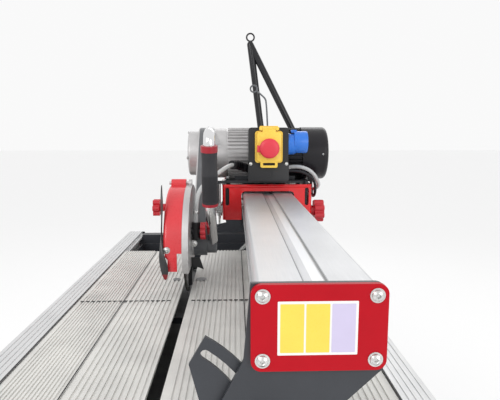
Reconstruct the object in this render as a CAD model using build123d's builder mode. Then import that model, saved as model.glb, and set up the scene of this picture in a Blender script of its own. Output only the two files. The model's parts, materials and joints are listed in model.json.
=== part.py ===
from build123d import *
import math
import os

# Bench-type wet tile saw: the cutting head rolls along a bridge beam above a
# slotted table.  Millimetres.  +Z up, +X to the operator's right, +Y away from
# the operator; the origin is on the floor under the middle of the machine.

os.makedirs("parts", exist_ok=True)

# ---------------------------------------------------------------- dimensions
TABLE_TOP = 740.0
FRAME_WIDTH = 690.0
FRAME_LENGTH = 1290.0
RAIL_WIDTH = 50.0
RAIL_HEIGHT = 90.0
RAIL_WALL = 3.0
CROSSBEAM_OUTER = 620.0      # distance of a crossbeam's outer face from the middle
CROSSBEAM_INNER = 584.0
TABLE_FAR = 344.0
TABLE_NEAR = -572.0
PANEL_THICK = 8.0

BLADE_X = -57.0
BLADE_RADIUS = 125.0
BLADE_THICK = 2.4
BLADE_Y = 38.0
BLADE_Z = TABLE_TOP + 102.0
SLOT_HALF = 11.0

BEAM_LEFT, BEAM_RIGHT = 84.0, 224.0
BEAM_BOTTOM, BEAM_TOP = TABLE_TOP + 124.0, TABLE_TOP + 204.0
BEAM_END = 627.0
GROOVE_Z = TABLE_TOP + 164.0
GROOVE_HEIGHT = 24.0
GROOVE_DEPTH = 16.0
ROLLER_RADIUS = 11.7

CARRIAGE_FRONT, CARRIAGE_REAR = 188.0, 400.0
CARRIAGE_LEFT, CARRIAGE_RIGHT = 25.0, 279.0
CARRIAGE_BOTTOM, CARRIAGE_TOP = TABLE_TOP + 128.0, TABLE_TOP + 229.0
SHEET = 3.0

PIVOT_Y, PIVOT_Z = 372.0, TABLE_TOP + 217.0
PLUNGE_DEG = 12.0

MOTOR_Y, MOTOR_Z = 300.0, TABLE_TOP + 313.0
PULLEY_X = (-37.0, -18.0)
MOTOR_RADIUS = 76.0
COWL_RADIUS = 78.0
SHAFT_RADIUS = 12.0

GUARD_RADIUS = 143.0
CASE_WALL = 3.0
CASE_LOW_RADIUS, CASE_HIGH_RADIUS = 36.0, 76.0
CASE_LEFT, CASE_RIGHT = -41.5, -10.0
DRIVEN_RADIUS, DRIVE_RADIUS = 27.0, 40.0
BELT_THICK = 3.5
ARBOR_RADIUS = 8.0

TILT_DEG = 45.0
STUD_RADIUS = 150.0          # clamp stud's distance from the tilt axis
STUD_ANGLE = 10.0
MAST_Y = 685.0
TUBE_RADIUS = 12.5


# ------------------------------------------------------------------- helpers
def across(y):
    """Sketch plane facing the operator at the given y, drawn in (x, z)."""
    return Plane((0, y, 0), x_dir=(1, 0, 0), z_dir=(0, -1, 0))


def side(x):
    """Sketch plane facing right at the given x, drawn in (y, z)."""
    return Plane((x, 0, 0), x_dir=(0, 1, 0), z_dir=(1, 0, 0))


def block(x, y, z, mode=Mode.ADD):
    """Box between pairs of limits, inside the open part."""
    centre = (sum(x) / 2, sum(y) / 2, sum(z) / 2)
    with Locations(centre):
        Box(x[1] - x[0], y[1] - y[0], z[1] - z[0], mode=mode)


def rod_x(x, y, z, radius, mode=Mode.ADD):
    """Cylinder along X between two x limits, inside the open part."""
    with Locations(Location((sum(x) / 2, y, z), (0, 90, 0))):
        Cylinder(radius, x[1] - x[0], mode=mode)


def rod_y(x, y, z, radius, mode=Mode.ADD):
    """Cylinder along Y between two y limits, inside the open part."""
    with Locations(Location((x, sum(y) / 2, z), (90, 0, 0))):
        Cylinder(radius, y[1] - y[0], mode=mode)


def rod_z(x, y, z, radius, mode=Mode.ADD):
    """Cylinder along Z between two z limits, inside the open part."""
    with Locations((x, y, sum(z) / 2)):
        Cylinder(radius, z[1] - z[0], mode=mode)


def bend_radii(name, points):
    """Radius of each corner of a free hose: as large as its two runs allow."""
    vectors = [Vector(*point) for point in points]
    radii = []
    for before, corner, after in zip(vectors, vectors[1:], vectors[2:]):
        arrive, leave = corner - before, after - corner
        half_turn = math.radians(arrive.get_angle(leave)) / 2
        radii.append(0.45 * min(arrive.length, leave.length) / math.tan(half_turn))
    print(name, "bend radii", [round(radius) for radius in radii])
    return radii


def polar(angle, radius):
    """Point at an angle and distance from the tilt axis, as (x, z)."""
    turn = math.radians(angle)
    return (BLADE_X + radius * math.cos(turn), TABLE_TOP + radius * math.sin(turn))


# ---------------------------------------------------------- bench: the frame
RAIL_LEFT = -FRAME_WIDTH / 2
with BuildPart() as side_rails:
    with BuildSketch(across(FRAME_LENGTH / 2)):
        with Locations((RAIL_LEFT + RAIL_WIDTH / 2, TABLE_TOP - RAIL_HEIGHT / 2)):
            RectangleRounded(RAIL_WIDTH, RAIL_HEIGHT, 2)
            Rectangle(RAIL_WIDTH - 2 * RAIL_WALL, RAIL_HEIGHT - 2 * RAIL_WALL, mode=Mode.SUBTRACT)
        for groove in range(4):
            with Locations((RAIL_LEFT + 10 + 10 * groove, TABLE_TOP)):
                Rectangle(2.5, 2, mode=Mode.SUBTRACT)
        with Locations((RAIL_LEFT + RAIL_WIDTH + 5, TABLE_TOP - PANEL_THICK - 3)):
            Rectangle(10, 6)
    extrude(amount=FRAME_LENGTH)
    for y in (-30, 30):
        rod_x((RAIL_LEFT - 1, RAIL_LEFT + RAIL_WALL + 1), y, TABLE_TOP - 45, 4.25, Mode.SUBTRACT)
    mirror(about=Plane.YZ)
side_rails.part.label = "side_rails"
export_step(side_rails.part, "parts/side_rails.step")

INNER_HALF = FRAME_WIDTH / 2 - RAIL_WIDTH
BEAM_DROP = 110.0
with BuildPart() as end_crossbeams:
    with BuildSketch(side(-INNER_HALF + 11)):
        with Locations(((CROSSBEAM_INNER + CROSSBEAM_OUTER) / 2, TABLE_TOP - BEAM_DROP / 2)):
            Rectangle(CROSSBEAM_OUTER - CROSSBEAM_INNER, BEAM_DROP)
            Rectangle(CROSSBEAM_OUTER - CROSSBEAM_INNER - 6, BEAM_DROP - 6, mode=Mode.SUBTRACT)
    extrude(amount=2 * (INNER_HALF - 11))
    for low, high in ((-INNER_HALF, -INNER_HALF + 11), (INNER_HALF - 11, INNER_HALF)):
        block((low, high), (CROSSBEAM_INNER, CROSSBEAM_OUTER), (TABLE_TOP - BEAM_DROP, TABLE_TOP - 20))
    with BuildSketch(across(CROSSBEAM_OUTER)):
        with Locations((BLADE_X, TABLE_TOP)):
            SlotCenterToCenter(50, 34)
            Circle(8, mode=Mode.SUBTRACT)
        with Locations((BLADE_X, TABLE_TOP - 12)):
            Rectangle(84, 18)
        with Locations((BLADE_X, TABLE_TOP)):
            Circle(8, mode=Mode.SUBTRACT)
    extrude(amount=6)
    rod_y(BLADE_X, (CROSSBEAM_INNER - 1, CROSSBEAM_OUTER + 1), TABLE_TOP, 8, Mode.SUBTRACT)
    mirror(about=Plane.XZ)
end_crossbeams.part.label = "end_crossbeams"
export_step(end_crossbeams.part, "parts/end_crossbeams.step")

# curved plates on the outside of both crossbeams, which the tilt clamps grip,
# each with the pin that the bridge tilts on
QUADRANT_Y = (CROSSBEAM_OUTER, CROSSBEAM_OUTER + 5)
with BuildPart() as tilt_quadrants:
    with BuildSketch(across(QUADRANT_Y[1])):
        with BuildLine():
            start = polar(-14, STUD_RADIUS + 18)
            arc = ThreePointArc(start, polar(22, STUD_RADIUS + 18), polar(60, STUD_RADIUS + 18))
            top = polar(60, STUD_RADIUS - 20)
            Line(arc @ 1, top)
            Line(top, (27, TABLE_TOP + 37))
            Line((27, TABLE_TOP + 37), (-5, TABLE_TOP + 17))
            Line((-5, TABLE_TOP + 17), (BLADE_X - 17, TABLE_TOP + 17))
            Line((BLADE_X - 17, TABLE_TOP + 17), (BLADE_X - 17, TABLE_TOP - 95))
            Line((BLADE_X - 17, TABLE_TOP - 95), (start[0], TABLE_TOP - 95))
            Line((start[0], TABLE_TOP - 95), start)
        make_face()
        with BuildLine(mode=Mode.PRIVATE) as slot_path:
            ThreePointArc(
                polar(STUD_ANGLE - 1, STUD_RADIUS),
                polar(STUD_ANGLE + TILT_DEG / 2, STUD_RADIUS),
                polar(STUD_ANGLE + TILT_DEG + 1, STUD_RADIUS),
            )
        SlotArc(slot_path.edges()[0], 11, mode=Mode.SUBTRACT)
    extrude(amount=5)
    rod_y(BLADE_X, (CROSSBEAM_INNER - 6, CROSSBEAM_OUTER + 16), TABLE_TOP, 7.95)
    for outer in (CROSSBEAM_INNER, CROSSBEAM_OUTER + 22):
        with BuildSketch(across(outer)):
            with Locations((BLADE_X, TABLE_TOP)):
                RegularPolygon(12.5, 6)
        extrude(amount=8)
    mirror(about=Plane.XZ)
tilt_quadrants.part.label = "tilt_quadrants"
export_step(tilt_quadrants.part, "parts/tilt_quadrants.step")

TRAY_FLOOR = TABLE_TOP - 105.0
TRAY_HALF = 282.0
TRAY_END = 570.0
DRAIN = (-240.0, -520.0)
with BuildPart() as water_tray:
    block((-TRAY_HALF, TRAY_HALF), (-TRAY_END, TRAY_END), (TRAY_FLOOR, TABLE_TOP - 30))
    block((-TRAY_HALF + 3, TRAY_HALF - 3), (-TRAY_END + 3, TRAY_END - 3),
          (TRAY_FLOOR + 3, TABLE_TOP), Mode.SUBTRACT)
    rod_z(*DRAIN, (TRAY_FLOOR - 12, TRAY_FLOOR + 6), 17)
    rod_z(*DRAIN, (TRAY_FLOOR - 13, TRAY_FLOOR + 7), 12, Mode.SUBTRACT)
water_tray.part.label = "water_tray"
export_step(water_tray.part, "parts/water_tray.step")

# ------------------------------------------------------------ bench: the table
PANELS = ((-293, -189), (-188.4, BLADE_X - SLOT_HALF), (BLADE_X + SLOT_HALF, 79.4), (80, 293))
with BuildPart() as table_panels:
    for left, right in PANELS:
        low = TABLE_TOP - PANEL_THICK
        block((left, right), (TABLE_NEAR, TABLE_FAR), (low, TABLE_TOP - 2))
        block((left + 20, left + 24), (TABLE_NEAR, TABLE_FAR), (low - 14, low))
        block((right - 24, right - 20), (TABLE_NEAR, TABLE_FAR), (low - 14, low))
        rib_pitch = 6.5 if left < -280 else 10.0
        rib_count = int((right - left - 8) / rib_pitch)
        middle = ((left + right) / 2, (TABLE_NEAR + TABLE_FAR) / 2, TABLE_TOP - 1)
        with Locations(middle):
            with GridLocations(rib_pitch, 0, rib_count, 1):
                Box(rib_pitch * 0.55, TABLE_FAR - TABLE_NEAR, 2)
table_panels.part.label = "table_panels"
export_step(table_panels.part, "parts/table_panels.step")

with BuildPart() as table_bearers:
    for y in (TABLE_NEAR + 40, -111, TABLE_FAR - 30):
        block((-TRAY_HALF + 3, TRAY_HALF - 3), (y - 12, y + 12), (TABLE_TOP - 50, TABLE_TOP - 30))
        block((-TRAY_HALF + 3, -170), (y - 12, y + 12), (TABLE_TOP - 30, TABLE_TOP - 22))
        block((BLADE_X - 28, BLADE_X + 28), (y - 13, y + 13), (TABLE_TOP - 36, TABLE_TOP - 20), Mode.SUBTRACT)
        block((-TRAY_HALF + 2, -165), (y - 13, y + 13), (TABLE_TOP - 30, TABLE_TOP - 21), Mode.SUBTRACT)
        for x in (-130, 10, 150):
            block((x - 6, x + 6), (y - 12, y + 12), (TABLE_TOP - 30, TABLE_TOP - PANEL_THICK))
table_bearers.part.label = "table_bearers"
export_step(table_bearers.part, "parts/table_bearers.step")

FENCE_Y = (-568.0, -550.0)
with BuildPart() as fence_bars:
    block((-293, 293), FENCE_Y, (TABLE_TOP, TABLE_TOP + 5))
    block((-293, 293), (FENCE_Y[0], FENCE_Y[0] + 5), (TABLE_TOP + 5, TABLE_TOP + 26))
    block((BLADE_X - 48, BLADE_X + 20), (FENCE_Y[0] - 1, FENCE_Y[1] + 1), (TABLE_TOP - 1, TABLE_TOP + 30),
          Mode.SUBTRACT)
fence_bars.part.label = "fence_bars"
export_step(fence_bars.part, "parts/fence_bars.step")

# ------------------------------------------------------------- folding legs
HINGE_Y, HINGE_Z = 560.0, TABLE_TOP - 138.0
FOOT_Y = 700.0 - 22.0
LEG_RADIUS = 15.0
NEAR_LEG_X, FAR_LEG_X = 305.0, 262.0
FOOT_TOP = 22.0

with BuildPart() as leg_hinges:
    for x, end in ((NEAR_LEG_X, -1), (FAR_LEG_X, 1)):
        hinge_y = end * HINGE_Y
        top = TABLE_TOP - BEAM_DROP if end > 0 else TABLE_TOP - RAIL_HEIGHT
        for turn in (-1, 1):
            for cheek in (-22.5, 17.5):
                low = turn * x + cheek
                block((low, low + 5), (hinge_y - 22, hinge_y + 22), (HINGE_Z - 18, top))
            middle = turn * x
            rod_x((middle - 26, middle + 26), hinge_y, HINGE_Z, 6)
            if end > 0:
                block((middle - 22.5, middle + 22.5), (hinge_y + 24, hinge_y + 42), (top - 5, top))
                block((middle - 22.5, middle + 22.5), (hinge_y + 15, hinge_y + 25), (top - 5, top))
            else:
                block((middle - 22.5, middle + 22.5), (hinge_y - 22, hinge_y + 22), (top - 5, top))
leg_hinges.part.label = "leg_hinges"
export_step(leg_hinges.part, "parts/leg_hinges.step")


def leg_line(end, x):
    """Straight axis of one leg, from its hinge to its foot."""
    return (x, end * HINGE_Y, HINGE_Z), (x, end * FOOT_Y, FOOT_TOP)


def leg_tube(end, x, radius):
    """Round bar along one leg."""
    top, foot = (Vector(*point) for point in leg_line(end, x))
    with BuildSketch(Plane(top, z_dir=foot - top)) as section:
        Circle(radius)
    extrude(section.sketch, amount=(foot - top).length)


def leg_spreader(end, x, share):
    """Cross tube between the two legs of one pair, part of the way down."""
    top, foot = (Vector(*point) for point in leg_line(end, x))
    place = top + (foot - top) * share
    rod_x((-x, x), place.Y, place.Z, 10)


with BuildPart() as near_legs:
    for x in (-NEAR_LEG_X, NEAR_LEG_X):
        leg_tube(-1, x, LEG_RADIUS)
        rod_x((x - 17, x + 17), -HINGE_Y, HINGE_Z, 16)
    leg_spreader(-1, NEAR_LEG_X, 0.72)
    for x in (-NEAR_LEG_X, NEAR_LEG_X):
        rod_x((x - 18, x + 18), -HINGE_Y, HINGE_Z, 6.05, Mode.SUBTRACT)
    block((-400, 400), (-800, -400), (-50, FOOT_TOP), Mode.SUBTRACT)
near_legs.part.label = "near_legs"
export_step(near_legs.part, "parts/near_legs.step")

with BuildPart() as far_legs:
    for x in (-FAR_LEG_X, FAR_LEG_X):
        leg_tube(1, x, LEG_RADIUS)
        rod_x((x - 17, x + 17), HINGE_Y, HINGE_Z, 16)
    leg_spreader(1, FAR_LEG_X, 0.6)
    for x in (-FAR_LEG_X, FAR_LEG_X):
        rod_x((x - 18, x + 18), HINGE_Y, HINGE_Z, 6.05, Mode.SUBTRACT)
    block((-400, 400), (400, 800), (-50, FOOT_TOP), Mode.SUBTRACT)
far_legs.part.label = "far_legs"
export_step(far_legs.part, "parts/far_legs.step")

with BuildPart() as near_feet:
    for x in (-NEAR_LEG_X, NEAR_LEG_X):
        rod_z(x, -FOOT_Y, (0, FOOT_TOP), 22)
near_feet.part.label = "near_feet"
export_step(near_feet.part, "parts/near_feet.step")

with BuildPart() as far_feet:
    for x in (-FAR_LEG_X, FAR_LEG_X):
        rod_z(x, FOOT_Y, (0, FOOT_TOP), 22)
far_feet.part.label = "far_feet"
export_step(far_feet.part, "parts/far_feet.step")

# ------------------------------------------------------ mast at the far end
POST_LEAN = -0.1298
APEX = (120.3, MAST_Y, TABLE_TOP + 701.0)
MAST_FOOT_Z = TABLE_TOP - 96.0
POST_FOOT = (APEX[0] + (APEX[2] - MAST_FOOT_Z) * -POST_LEAN, MAST_Y, MAST_FOOT_Z)
STAY_KNEE = (331.0, MAST_Y, TABLE_TOP + 290.0)
STAY_FOOT = (331.0, MAST_Y, TABLE_TOP - 88.0)

with BuildPart() as mast_post:
    with BuildSketch(Plane(POST_FOOT, z_dir=Vector(*APEX) - Vector(*POST_FOOT))):
        Circle(TUBE_RADIUS)
    extrude(amount=(Vector(*APEX) - Vector(*POST_FOOT)).length)
    with Locations(APEX):
        Sphere(TUBE_RADIUS)
    with Locations(Location((APEX[0], MAST_Y, APEX[2] + 26), (90, 0, 0))):
        Torus(14, 3)
    block((POST_FOOT[0] - 30, POST_FOOT[0] + 22), (CROSSBEAM_OUTER, MAST_Y),
          (TABLE_TOP - 92, TABLE_TOP - 60))
mast_post.part.label = "mast_post"
export_step(mast_post.part, "parts/mast_post.step")

with BuildPart() as mast_stay:
    with BuildLine() as stay_route:
        FilletPolyline(STAY_FOOT, STAY_KNEE, APEX, radius=70)
    with BuildSketch(Plane(stay_route.line @ 0, z_dir=stay_route.line % 0)):
        Circle(TUBE_RADIUS)
    sweep()
    with BuildSketch(Plane(POST_FOOT, z_dir=Vector(*APEX) - Vector(*POST_FOOT))):
        Circle(TUBE_RADIUS)
    extrude(amount=(Vector(*APEX) - Vector(*POST_FOOT)).length, mode=Mode.SUBTRACT)
    with Locations(APEX):
        Sphere(TUBE_RADIUS, mode=Mode.SUBTRACT)
    block((STAY_FOOT[0] - 16, 345), (FRAME_LENGTH / 2, MAST_Y), (TABLE_TOP - 84, TABLE_TOP - 44))
mast_stay.part.label = "mast_stay"
export_step(mast_stay.part, "parts/mast_stay.step")

# ------------------------------------------------------------- tilting bridge
BEAM_MIDDLE = (BEAM_LEFT + BEAM_RIGHT) / 2
BEAM_WIDTH = BEAM_RIGHT - BEAM_LEFT
BEAM_HEIGHT = BEAM_TOP - BEAM_BOTTOM
with BuildPart() as bridge_beam:
    with BuildSketch(across(BEAM_END)):
        with Locations((BEAM_MIDDLE, (BEAM_BOTTOM + BEAM_TOP) / 2)):
            RectangleRounded(BEAM_WIDTH, BEAM_HEIGHT, 6)
            Rectangle(BEAM_WIDTH - 2 * GROOVE_DEPTH - 8, BEAM_HEIGHT - 16, mode=Mode.SUBTRACT)
            Rectangle(5, BEAM_HEIGHT)
        for x in (BEAM_LEFT + GROOVE_DEPTH / 2, BEAM_RIGHT - GROOVE_DEPTH / 2):
            with Locations((x, GROOVE_Z)):
                Rectangle(GROOVE_DEPTH, GROOVE_HEIGHT, mode=Mode.SUBTRACT)
        with Locations((BEAM_MIDDLE, BEAM_TOP + 10)):
            RectangleRounded(28, 28, 3, mode=Mode.SUBTRACT)
    extrude(amount=2 * BEAM_END)
bridge_beam.part.label = "bridge_beam"
export_step(bridge_beam.part, "parts/bridge_beam.step")

ARM_Y = (BEAM_END, BEAM_END + 6)
STUD = polar(STUD_ANGLE, STUD_RADIUS)
PLATE_LEFT, PLATE_RIGHT = 78.0, 230.0
PLATE_BOTTOM, PLATE_TOP = TABLE_TOP + 110.0, TABLE_TOP + 210.0
with BuildPart() as tilt_arms:
    with BuildSketch(across(ARM_Y[1])):
        with BuildLine():
            Polyline(
                (BLADE_X - 3, TABLE_TOP - 18), (STUD[0] + 26, TABLE_TOP + 2), (PLATE_RIGHT, PLATE_BOTTOM),
                (PLATE_RIGHT, PLATE_TOP), (PLATE_LEFT, PLATE_TOP), (PLATE_LEFT - 8, PLATE_BOTTOM + 10),
                (27, TABLE_TOP + 37), (BLADE_X - 3, TABLE_TOP + 18), close=True,
            )
        make_face()
        fillet(vertices().group_by(Axis.X)[-1], 14)
        with Locations((BLADE_X, TABLE_TOP)):
            Circle(18)
            Circle(8.0, mode=Mode.SUBTRACT)
    extrude(amount=6)
    rod_y(STUD[0], (CROSSBEAM_OUTER - 4, ARM_Y[0]), STUD[1], 5)
    mirror(about=Plane.XZ)
tilt_arms.part.label = "tilt_arms"
export_step(tilt_arms.part, "parts/tilt_arms.step")

END_PLATE_Y = (ARM_Y[1], ARM_Y[1] + 6)
with BuildPart() as end_plates:
    with BuildSketch(across(END_PLATE_Y[1])):
        with Locations(((PLATE_LEFT + PLATE_RIGHT) / 2, (PLATE_BOTTOM + PLATE_TOP) / 2)):
            RectangleRounded(PLATE_RIGHT - PLATE_LEFT, PLATE_TOP - PLATE_BOTTOM, 12)
    extrude(amount=6)
    mirror(about=Plane.XZ)
end_plates.part.label = "end_plates"
export_step(end_plates.part, "parts/end_plates.step")

KNOB_Y = (ARM_Y[1] + 0.5, ARM_Y[1] + 27)
with BuildPart() as far_clamp_knob:
    with BuildSketch(across(KNOB_Y[1])):
        with Locations(STUD):
            Circle(17)
            with PolarLocations(14, 5):
                Circle(7)
    extrude(amount=20)
    rod_y(STUD[0], (KNOB_Y[0], KNOB_Y[1] - 20), STUD[1], 10)
far_clamp_knob.part.label = "far_clamp_knob"
export_step(far_clamp_knob.part, "parts/far_clamp_knob.step")

with BuildPart() as near_clamp_knob:
    add(far_clamp_knob.part)
    mirror(about=Plane.XZ, mode=Mode.REPLACE)
near_clamp_knob.part.label = "near_clamp_knob"
export_step(near_clamp_knob.part, "parts/near_clamp_knob.step")

UNION_X, UNION_Y = (138.0, 192.0), (556.0, 576.0)
with BuildPart() as hose_union:
    block(UNION_X, UNION_Y, (TABLE_TOP + 100, BEAM_BOTTOM))
    fillet(edges().filter_by(Axis.Y).group_by(Axis.Z)[0], 8)
hose_union.part.label = "hose_union"
export_step(hose_union.part, "parts/hose_union.step")

# ----------------------------------------------------------------- carriage
with BuildPart() as carriage_shell:
    block((CARRIAGE_LEFT, CARRIAGE_RIGHT), (CARRIAGE_FRONT, CARRIAGE_REAR), (CARRIAGE_BOTTOM, CARRIAGE_TOP))
    fillet(edges().filter_by(Axis.Z), 7)
    with BuildSketch(Plane.XY.offset(CARRIAGE_BOTTOM)):
        with Locations(((CARRIAGE_LEFT + CARRIAGE_RIGHT) / 2, (CARRIAGE_FRONT + CARRIAGE_REAR) / 2)):
            RectangleRounded(
                CARRIAGE_RIGHT - CARRIAGE_LEFT - 2 * SHEET, CARRIAGE_REAR - CARRIAGE_FRONT - 2 * SHEET, 4
            )
    extrude(amount=CARRIAGE_TOP - CARRIAGE_BOTTOM, mode=Mode.SUBTRACT)
    block((CARRIAGE_LEFT + 9, CARRIAGE_RIGHT - 9), (CARRIAGE_FRONT + SHEET, CARRIAGE_FRONT + 8),
          (CARRIAGE_TOP - SHEET, CARRIAGE_TOP))
    with BuildSketch(across(CARRIAGE_REAR + 1)):
        with Locations((BEAM_MIDDLE, (BEAM_BOTTOM + BEAM_TOP) / 2 - 12)):
            RectangleRounded(BEAM_WIDTH + 10, BEAM_HEIGHT + 36, 12)
        for x in (CARRIAGE_LEFT + 14, CARRIAGE_RIGHT - 14):
            with Locations(Location((x, CARRIAGE_TOP - 34), 90)):
                SlotOverall(51, 11)
    extrude(amount=CARRIAGE_REAR - CARRIAGE_FRONT + 2, mode=Mode.SUBTRACT)
    rod_x((CARRIAGE_LEFT - 1, CARRIAGE_RIGHT + 1), PIVOT_Y, PIVOT_Z, 10, Mode.SUBTRACT)
carriage_shell.part.label = "carriage_shell"
export_step(carriage_shell.part, "parts/carriage_shell.step")

ROLLER_Y = (222.0, 366.0)
with BuildPart() as roller_plates:
    for low, high, inward in ((70.0, 75.0, 1), (233.0, 238.0, -1)):
        block((low, high), (CARRIAGE_FRONT + SHEET, CARRIAGE_REAR - SHEET), (TABLE_TOP + 142, TABLE_TOP + 204))
        edge = high if inward > 0 else low
        for y in ROLLER_Y:
            start, end = sorted((edge, edge + inward * 23.5))
            rod_x((start, end), y, GROOVE_Z, 4)
roller_plates.part.label = "roller_plates"
export_step(roller_plates.part, "parts/roller_plates.step")


def roller_pair(y):
    """Two grooved-beam rollers on one line, one in each side of the beam."""
    for low in (BEAM_LEFT + 3.5, BEAM_RIGHT - 13.5):
        rod_x((low, low + 10), y, GROOVE_Z, ROLLER_RADIUS)
        rod_x((low - 1, low + 11), y, GROOVE_Z, 4.05, Mode.SUBTRACT)


with BuildPart() as front_rollers:
    roller_pair(ROLLER_Y[0])
front_rollers.part.label = "front_rollers"
export_step(front_rollers.part, "parts/front_rollers.step")

with BuildPart() as rear_rollers:
    roller_pair(ROLLER_Y[1])
rear_rollers.part.label = "rear_rollers"
export_step(rear_rollers.part, "parts/rear_rollers.step")

with BuildPart() as pivot_shaft:
    rod_x((CARRIAGE_LEFT - 6, CARRIAGE_RIGHT + 6), PIVOT_Y, PIVOT_Z, 9.98)
pivot_shaft.part.label = "pivot_shaft"
export_step(pivot_shaft.part, "parts/pivot_shaft.step")

STOP_X, STOP_Y = 16.0, 206.0
with BuildPart() as depth_screw:
    rod_z(STOP_X, STOP_Y, (TABLE_TOP + 115, TABLE_TOP + 230), 4)
    for low in (TABLE_TOP + 138, TABLE_TOP + 166):
        with BuildSketch(Plane.XY.offset(low)):
            with Locations((STOP_X, STOP_Y)):
                RegularPolygon(8, 6)
        extrude(amount=7)
    block((STOP_X - 9, CARRIAGE_LEFT), (STOP_Y - 10, STOP_Y + 10), (TABLE_TOP + 146, TABLE_TOP + 165))
    rod_x((CARRIAGE_LEFT - 25, CARRIAGE_LEFT - 18), STOP_Y + 6, TABLE_TOP + 155, 4)
depth_screw.part.label = "depth_screw"
export_step(depth_screw.part, "parts/depth_screw.step")

LOCK_Y, LOCK_Z = 215.0, TABLE_TOP + 150.0
with BuildPart() as lock_knob:
    with BuildSketch(side(290)):
        with Locations((LOCK_Y, LOCK_Z)):
            Circle(26)
            with PolarLocations(23.5, 7):
                Circle(9)
    extrude(amount=27)
    rod_x((CARRIAGE_RIGHT + 0.4, 290), LOCK_Y, LOCK_Z, 14)
    chamfer(faces().filter_by(Plane.YZ).sort_by(Axis.X)[-1].edges(), 1.5)
lock_knob.part.label = "lock_knob"
export_step(lock_knob.part, "parts/lock_knob.step")

CLIP = (291.0, 300.0)
with BuildPart() as hose_clip:
    block((CARRIAGE_RIGHT, CLIP[0] + 9), (CLIP[1] - 9, CLIP[1] + 9), (TABLE_TOP + 130, TABLE_TOP + 152))
    fillet(edges().filter_by(Axis.Z).group_by(Axis.X)[-1], 5)
hose_clip.part.label = "hose_clip"
export_step(hose_clip.part, "parts/hose_clip.step")

# ------------------------------------------------------ plunging cutting head
CRADLE_Z = (TABLE_TOP + 231.0, TABLE_TOP + 237.0)
HOUSING_X = (35.0, 266.0)
with BuildPart() as head_frame:
    block((32, 272), (213, 390), CRADLE_Z)
    block((8, 34), (196, 222), CRADLE_Z)
    for x in ((33, 46), (256, 268)):
        block(x, (PIVOT_Y - 17, PIVOT_Y + 17), (PIVOT_Z, CRADLE_Z[1]))
        rod_x(x, PIVOT_Y, PIVOT_Z, 17)
        rod_x((x[0] - 1, x[1] + 1), PIVOT_Y, PIVOT_Z, 10.04, Mode.SUBTRACT)
    block((60, 240), (262, 338), (CRADLE_Z[1], MOTOR_Z - 40))
    rod_x((59, 241), MOTOR_Y, MOTOR_Z, MOTOR_RADIUS + 0.1, Mode.SUBTRACT)
    rod_x((HOUSING_X[1] - 10, 273), MOTOR_Y, MOTOR_Z, COWL_RADIUS + 0.4, Mode.SUBTRACT)
    block((80, 220), (280, 320), (CRADLE_Z[0] - 1, MOTOR_Z), Mode.SUBTRACT)
    with BuildSketch(side(262)):
        with BuildLine():
            Polyline((LOCK_Y - 16, CRADLE_Z[1]), (LOCK_Y - 16, LOCK_Z - 4), (LOCK_Y + 8, LOCK_Z - 48),
                     (LOCK_Y + 34, LOCK_Z - 38), (LOCK_Y + 30, CRADLE_Z[1]), close=True)
        make_face()
        with BuildLine(mode=Mode.PRIVATE) as plunge_path:
            CenterArc((PIVOT_Y, PIVOT_Z), math.hypot(PIVOT_Y - LOCK_Y, PIVOT_Z - LOCK_Z),
                      180 + math.degrees(math.atan2(PIVOT_Z - LOCK_Z, PIVOT_Y - LOCK_Y)) - 0.5,
                      PLUNGE_DEG + 1)
        SlotArc(plunge_path.edges()[0], 11, mode=Mode.SUBTRACT)
    extrude(amount=6)
head_frame.part.label = "head_frame"
export_step(head_frame.part, "parts/head_frame.step")

REACH_Y, REACH_Z = MOTOR_Y - BLADE_Y, MOTOR_Z - BLADE_Z
REACH = math.hypot(REACH_Y, REACH_Z)
LEAN = math.degrees(math.atan2(REACH_Z, REACH_Y))


def tapered_slot(low_radius, high_radius, mode=Mode.ADD):
    """Outline round two circles of different size: the arbor end and the motor end."""
    taper = math.asin((high_radius - low_radius) / REACH)
    turn = math.radians(LEAN)

    def rim(centre, radius, angle):
        return (centre[0] + radius * math.cos(angle), centre[1] + radius * math.sin(angle))

    low, high = (BLADE_Y, BLADE_Z), (MOTOR_Y, MOTOR_Z)
    upper, lower = turn + math.pi / 2 + taper, turn - math.pi / 2 - taper
    with BuildLine() as outline:
        Line(rim(low, low_radius, upper), rim(high, high_radius, upper))
        ThreePointArc(rim(high, high_radius, upper), rim(high, high_radius, turn), rim(high, high_radius, lower))
        Line(rim(high, high_radius, lower), rim(low, low_radius, lower))
        ThreePointArc(rim(low, low_radius, lower), rim(low, low_radius, turn + math.pi), rim(low, low_radius, upper))
    make_face(outline.edges(), mode=mode)


with BuildPart() as belt_case:
    with BuildSketch(side(CASE_LEFT)):
        tapered_slot(CASE_LOW_RADIUS, CASE_HIGH_RADIUS)
    extrude(amount=CASE_RIGHT - CASE_LEFT)
    with BuildSketch(side(CASE_LEFT)):
        tapered_slot(CASE_LOW_RADIUS - CASE_WALL, CASE_HIGH_RADIUS - CASE_WALL)
    extrude(amount=CASE_RIGHT - CASE_LEFT - CASE_WALL, mode=Mode.SUBTRACT)
    rod_x((CASE_RIGHT, 14), BLADE_Y, BLADE_Z, 30)
    rod_x((CASE_RIGHT - 4, 14.5), BLADE_Y, BLADE_Z, 16, Mode.SUBTRACT)
    rod_x((CASE_RIGHT - 4, CASE_RIGHT + 1), MOTOR_Y, MOTOR_Z, 26, Mode.SUBTRACT)
belt_case.part.label = "belt_case"
export_step(belt_case.part, "parts/belt_case.step")

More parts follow.
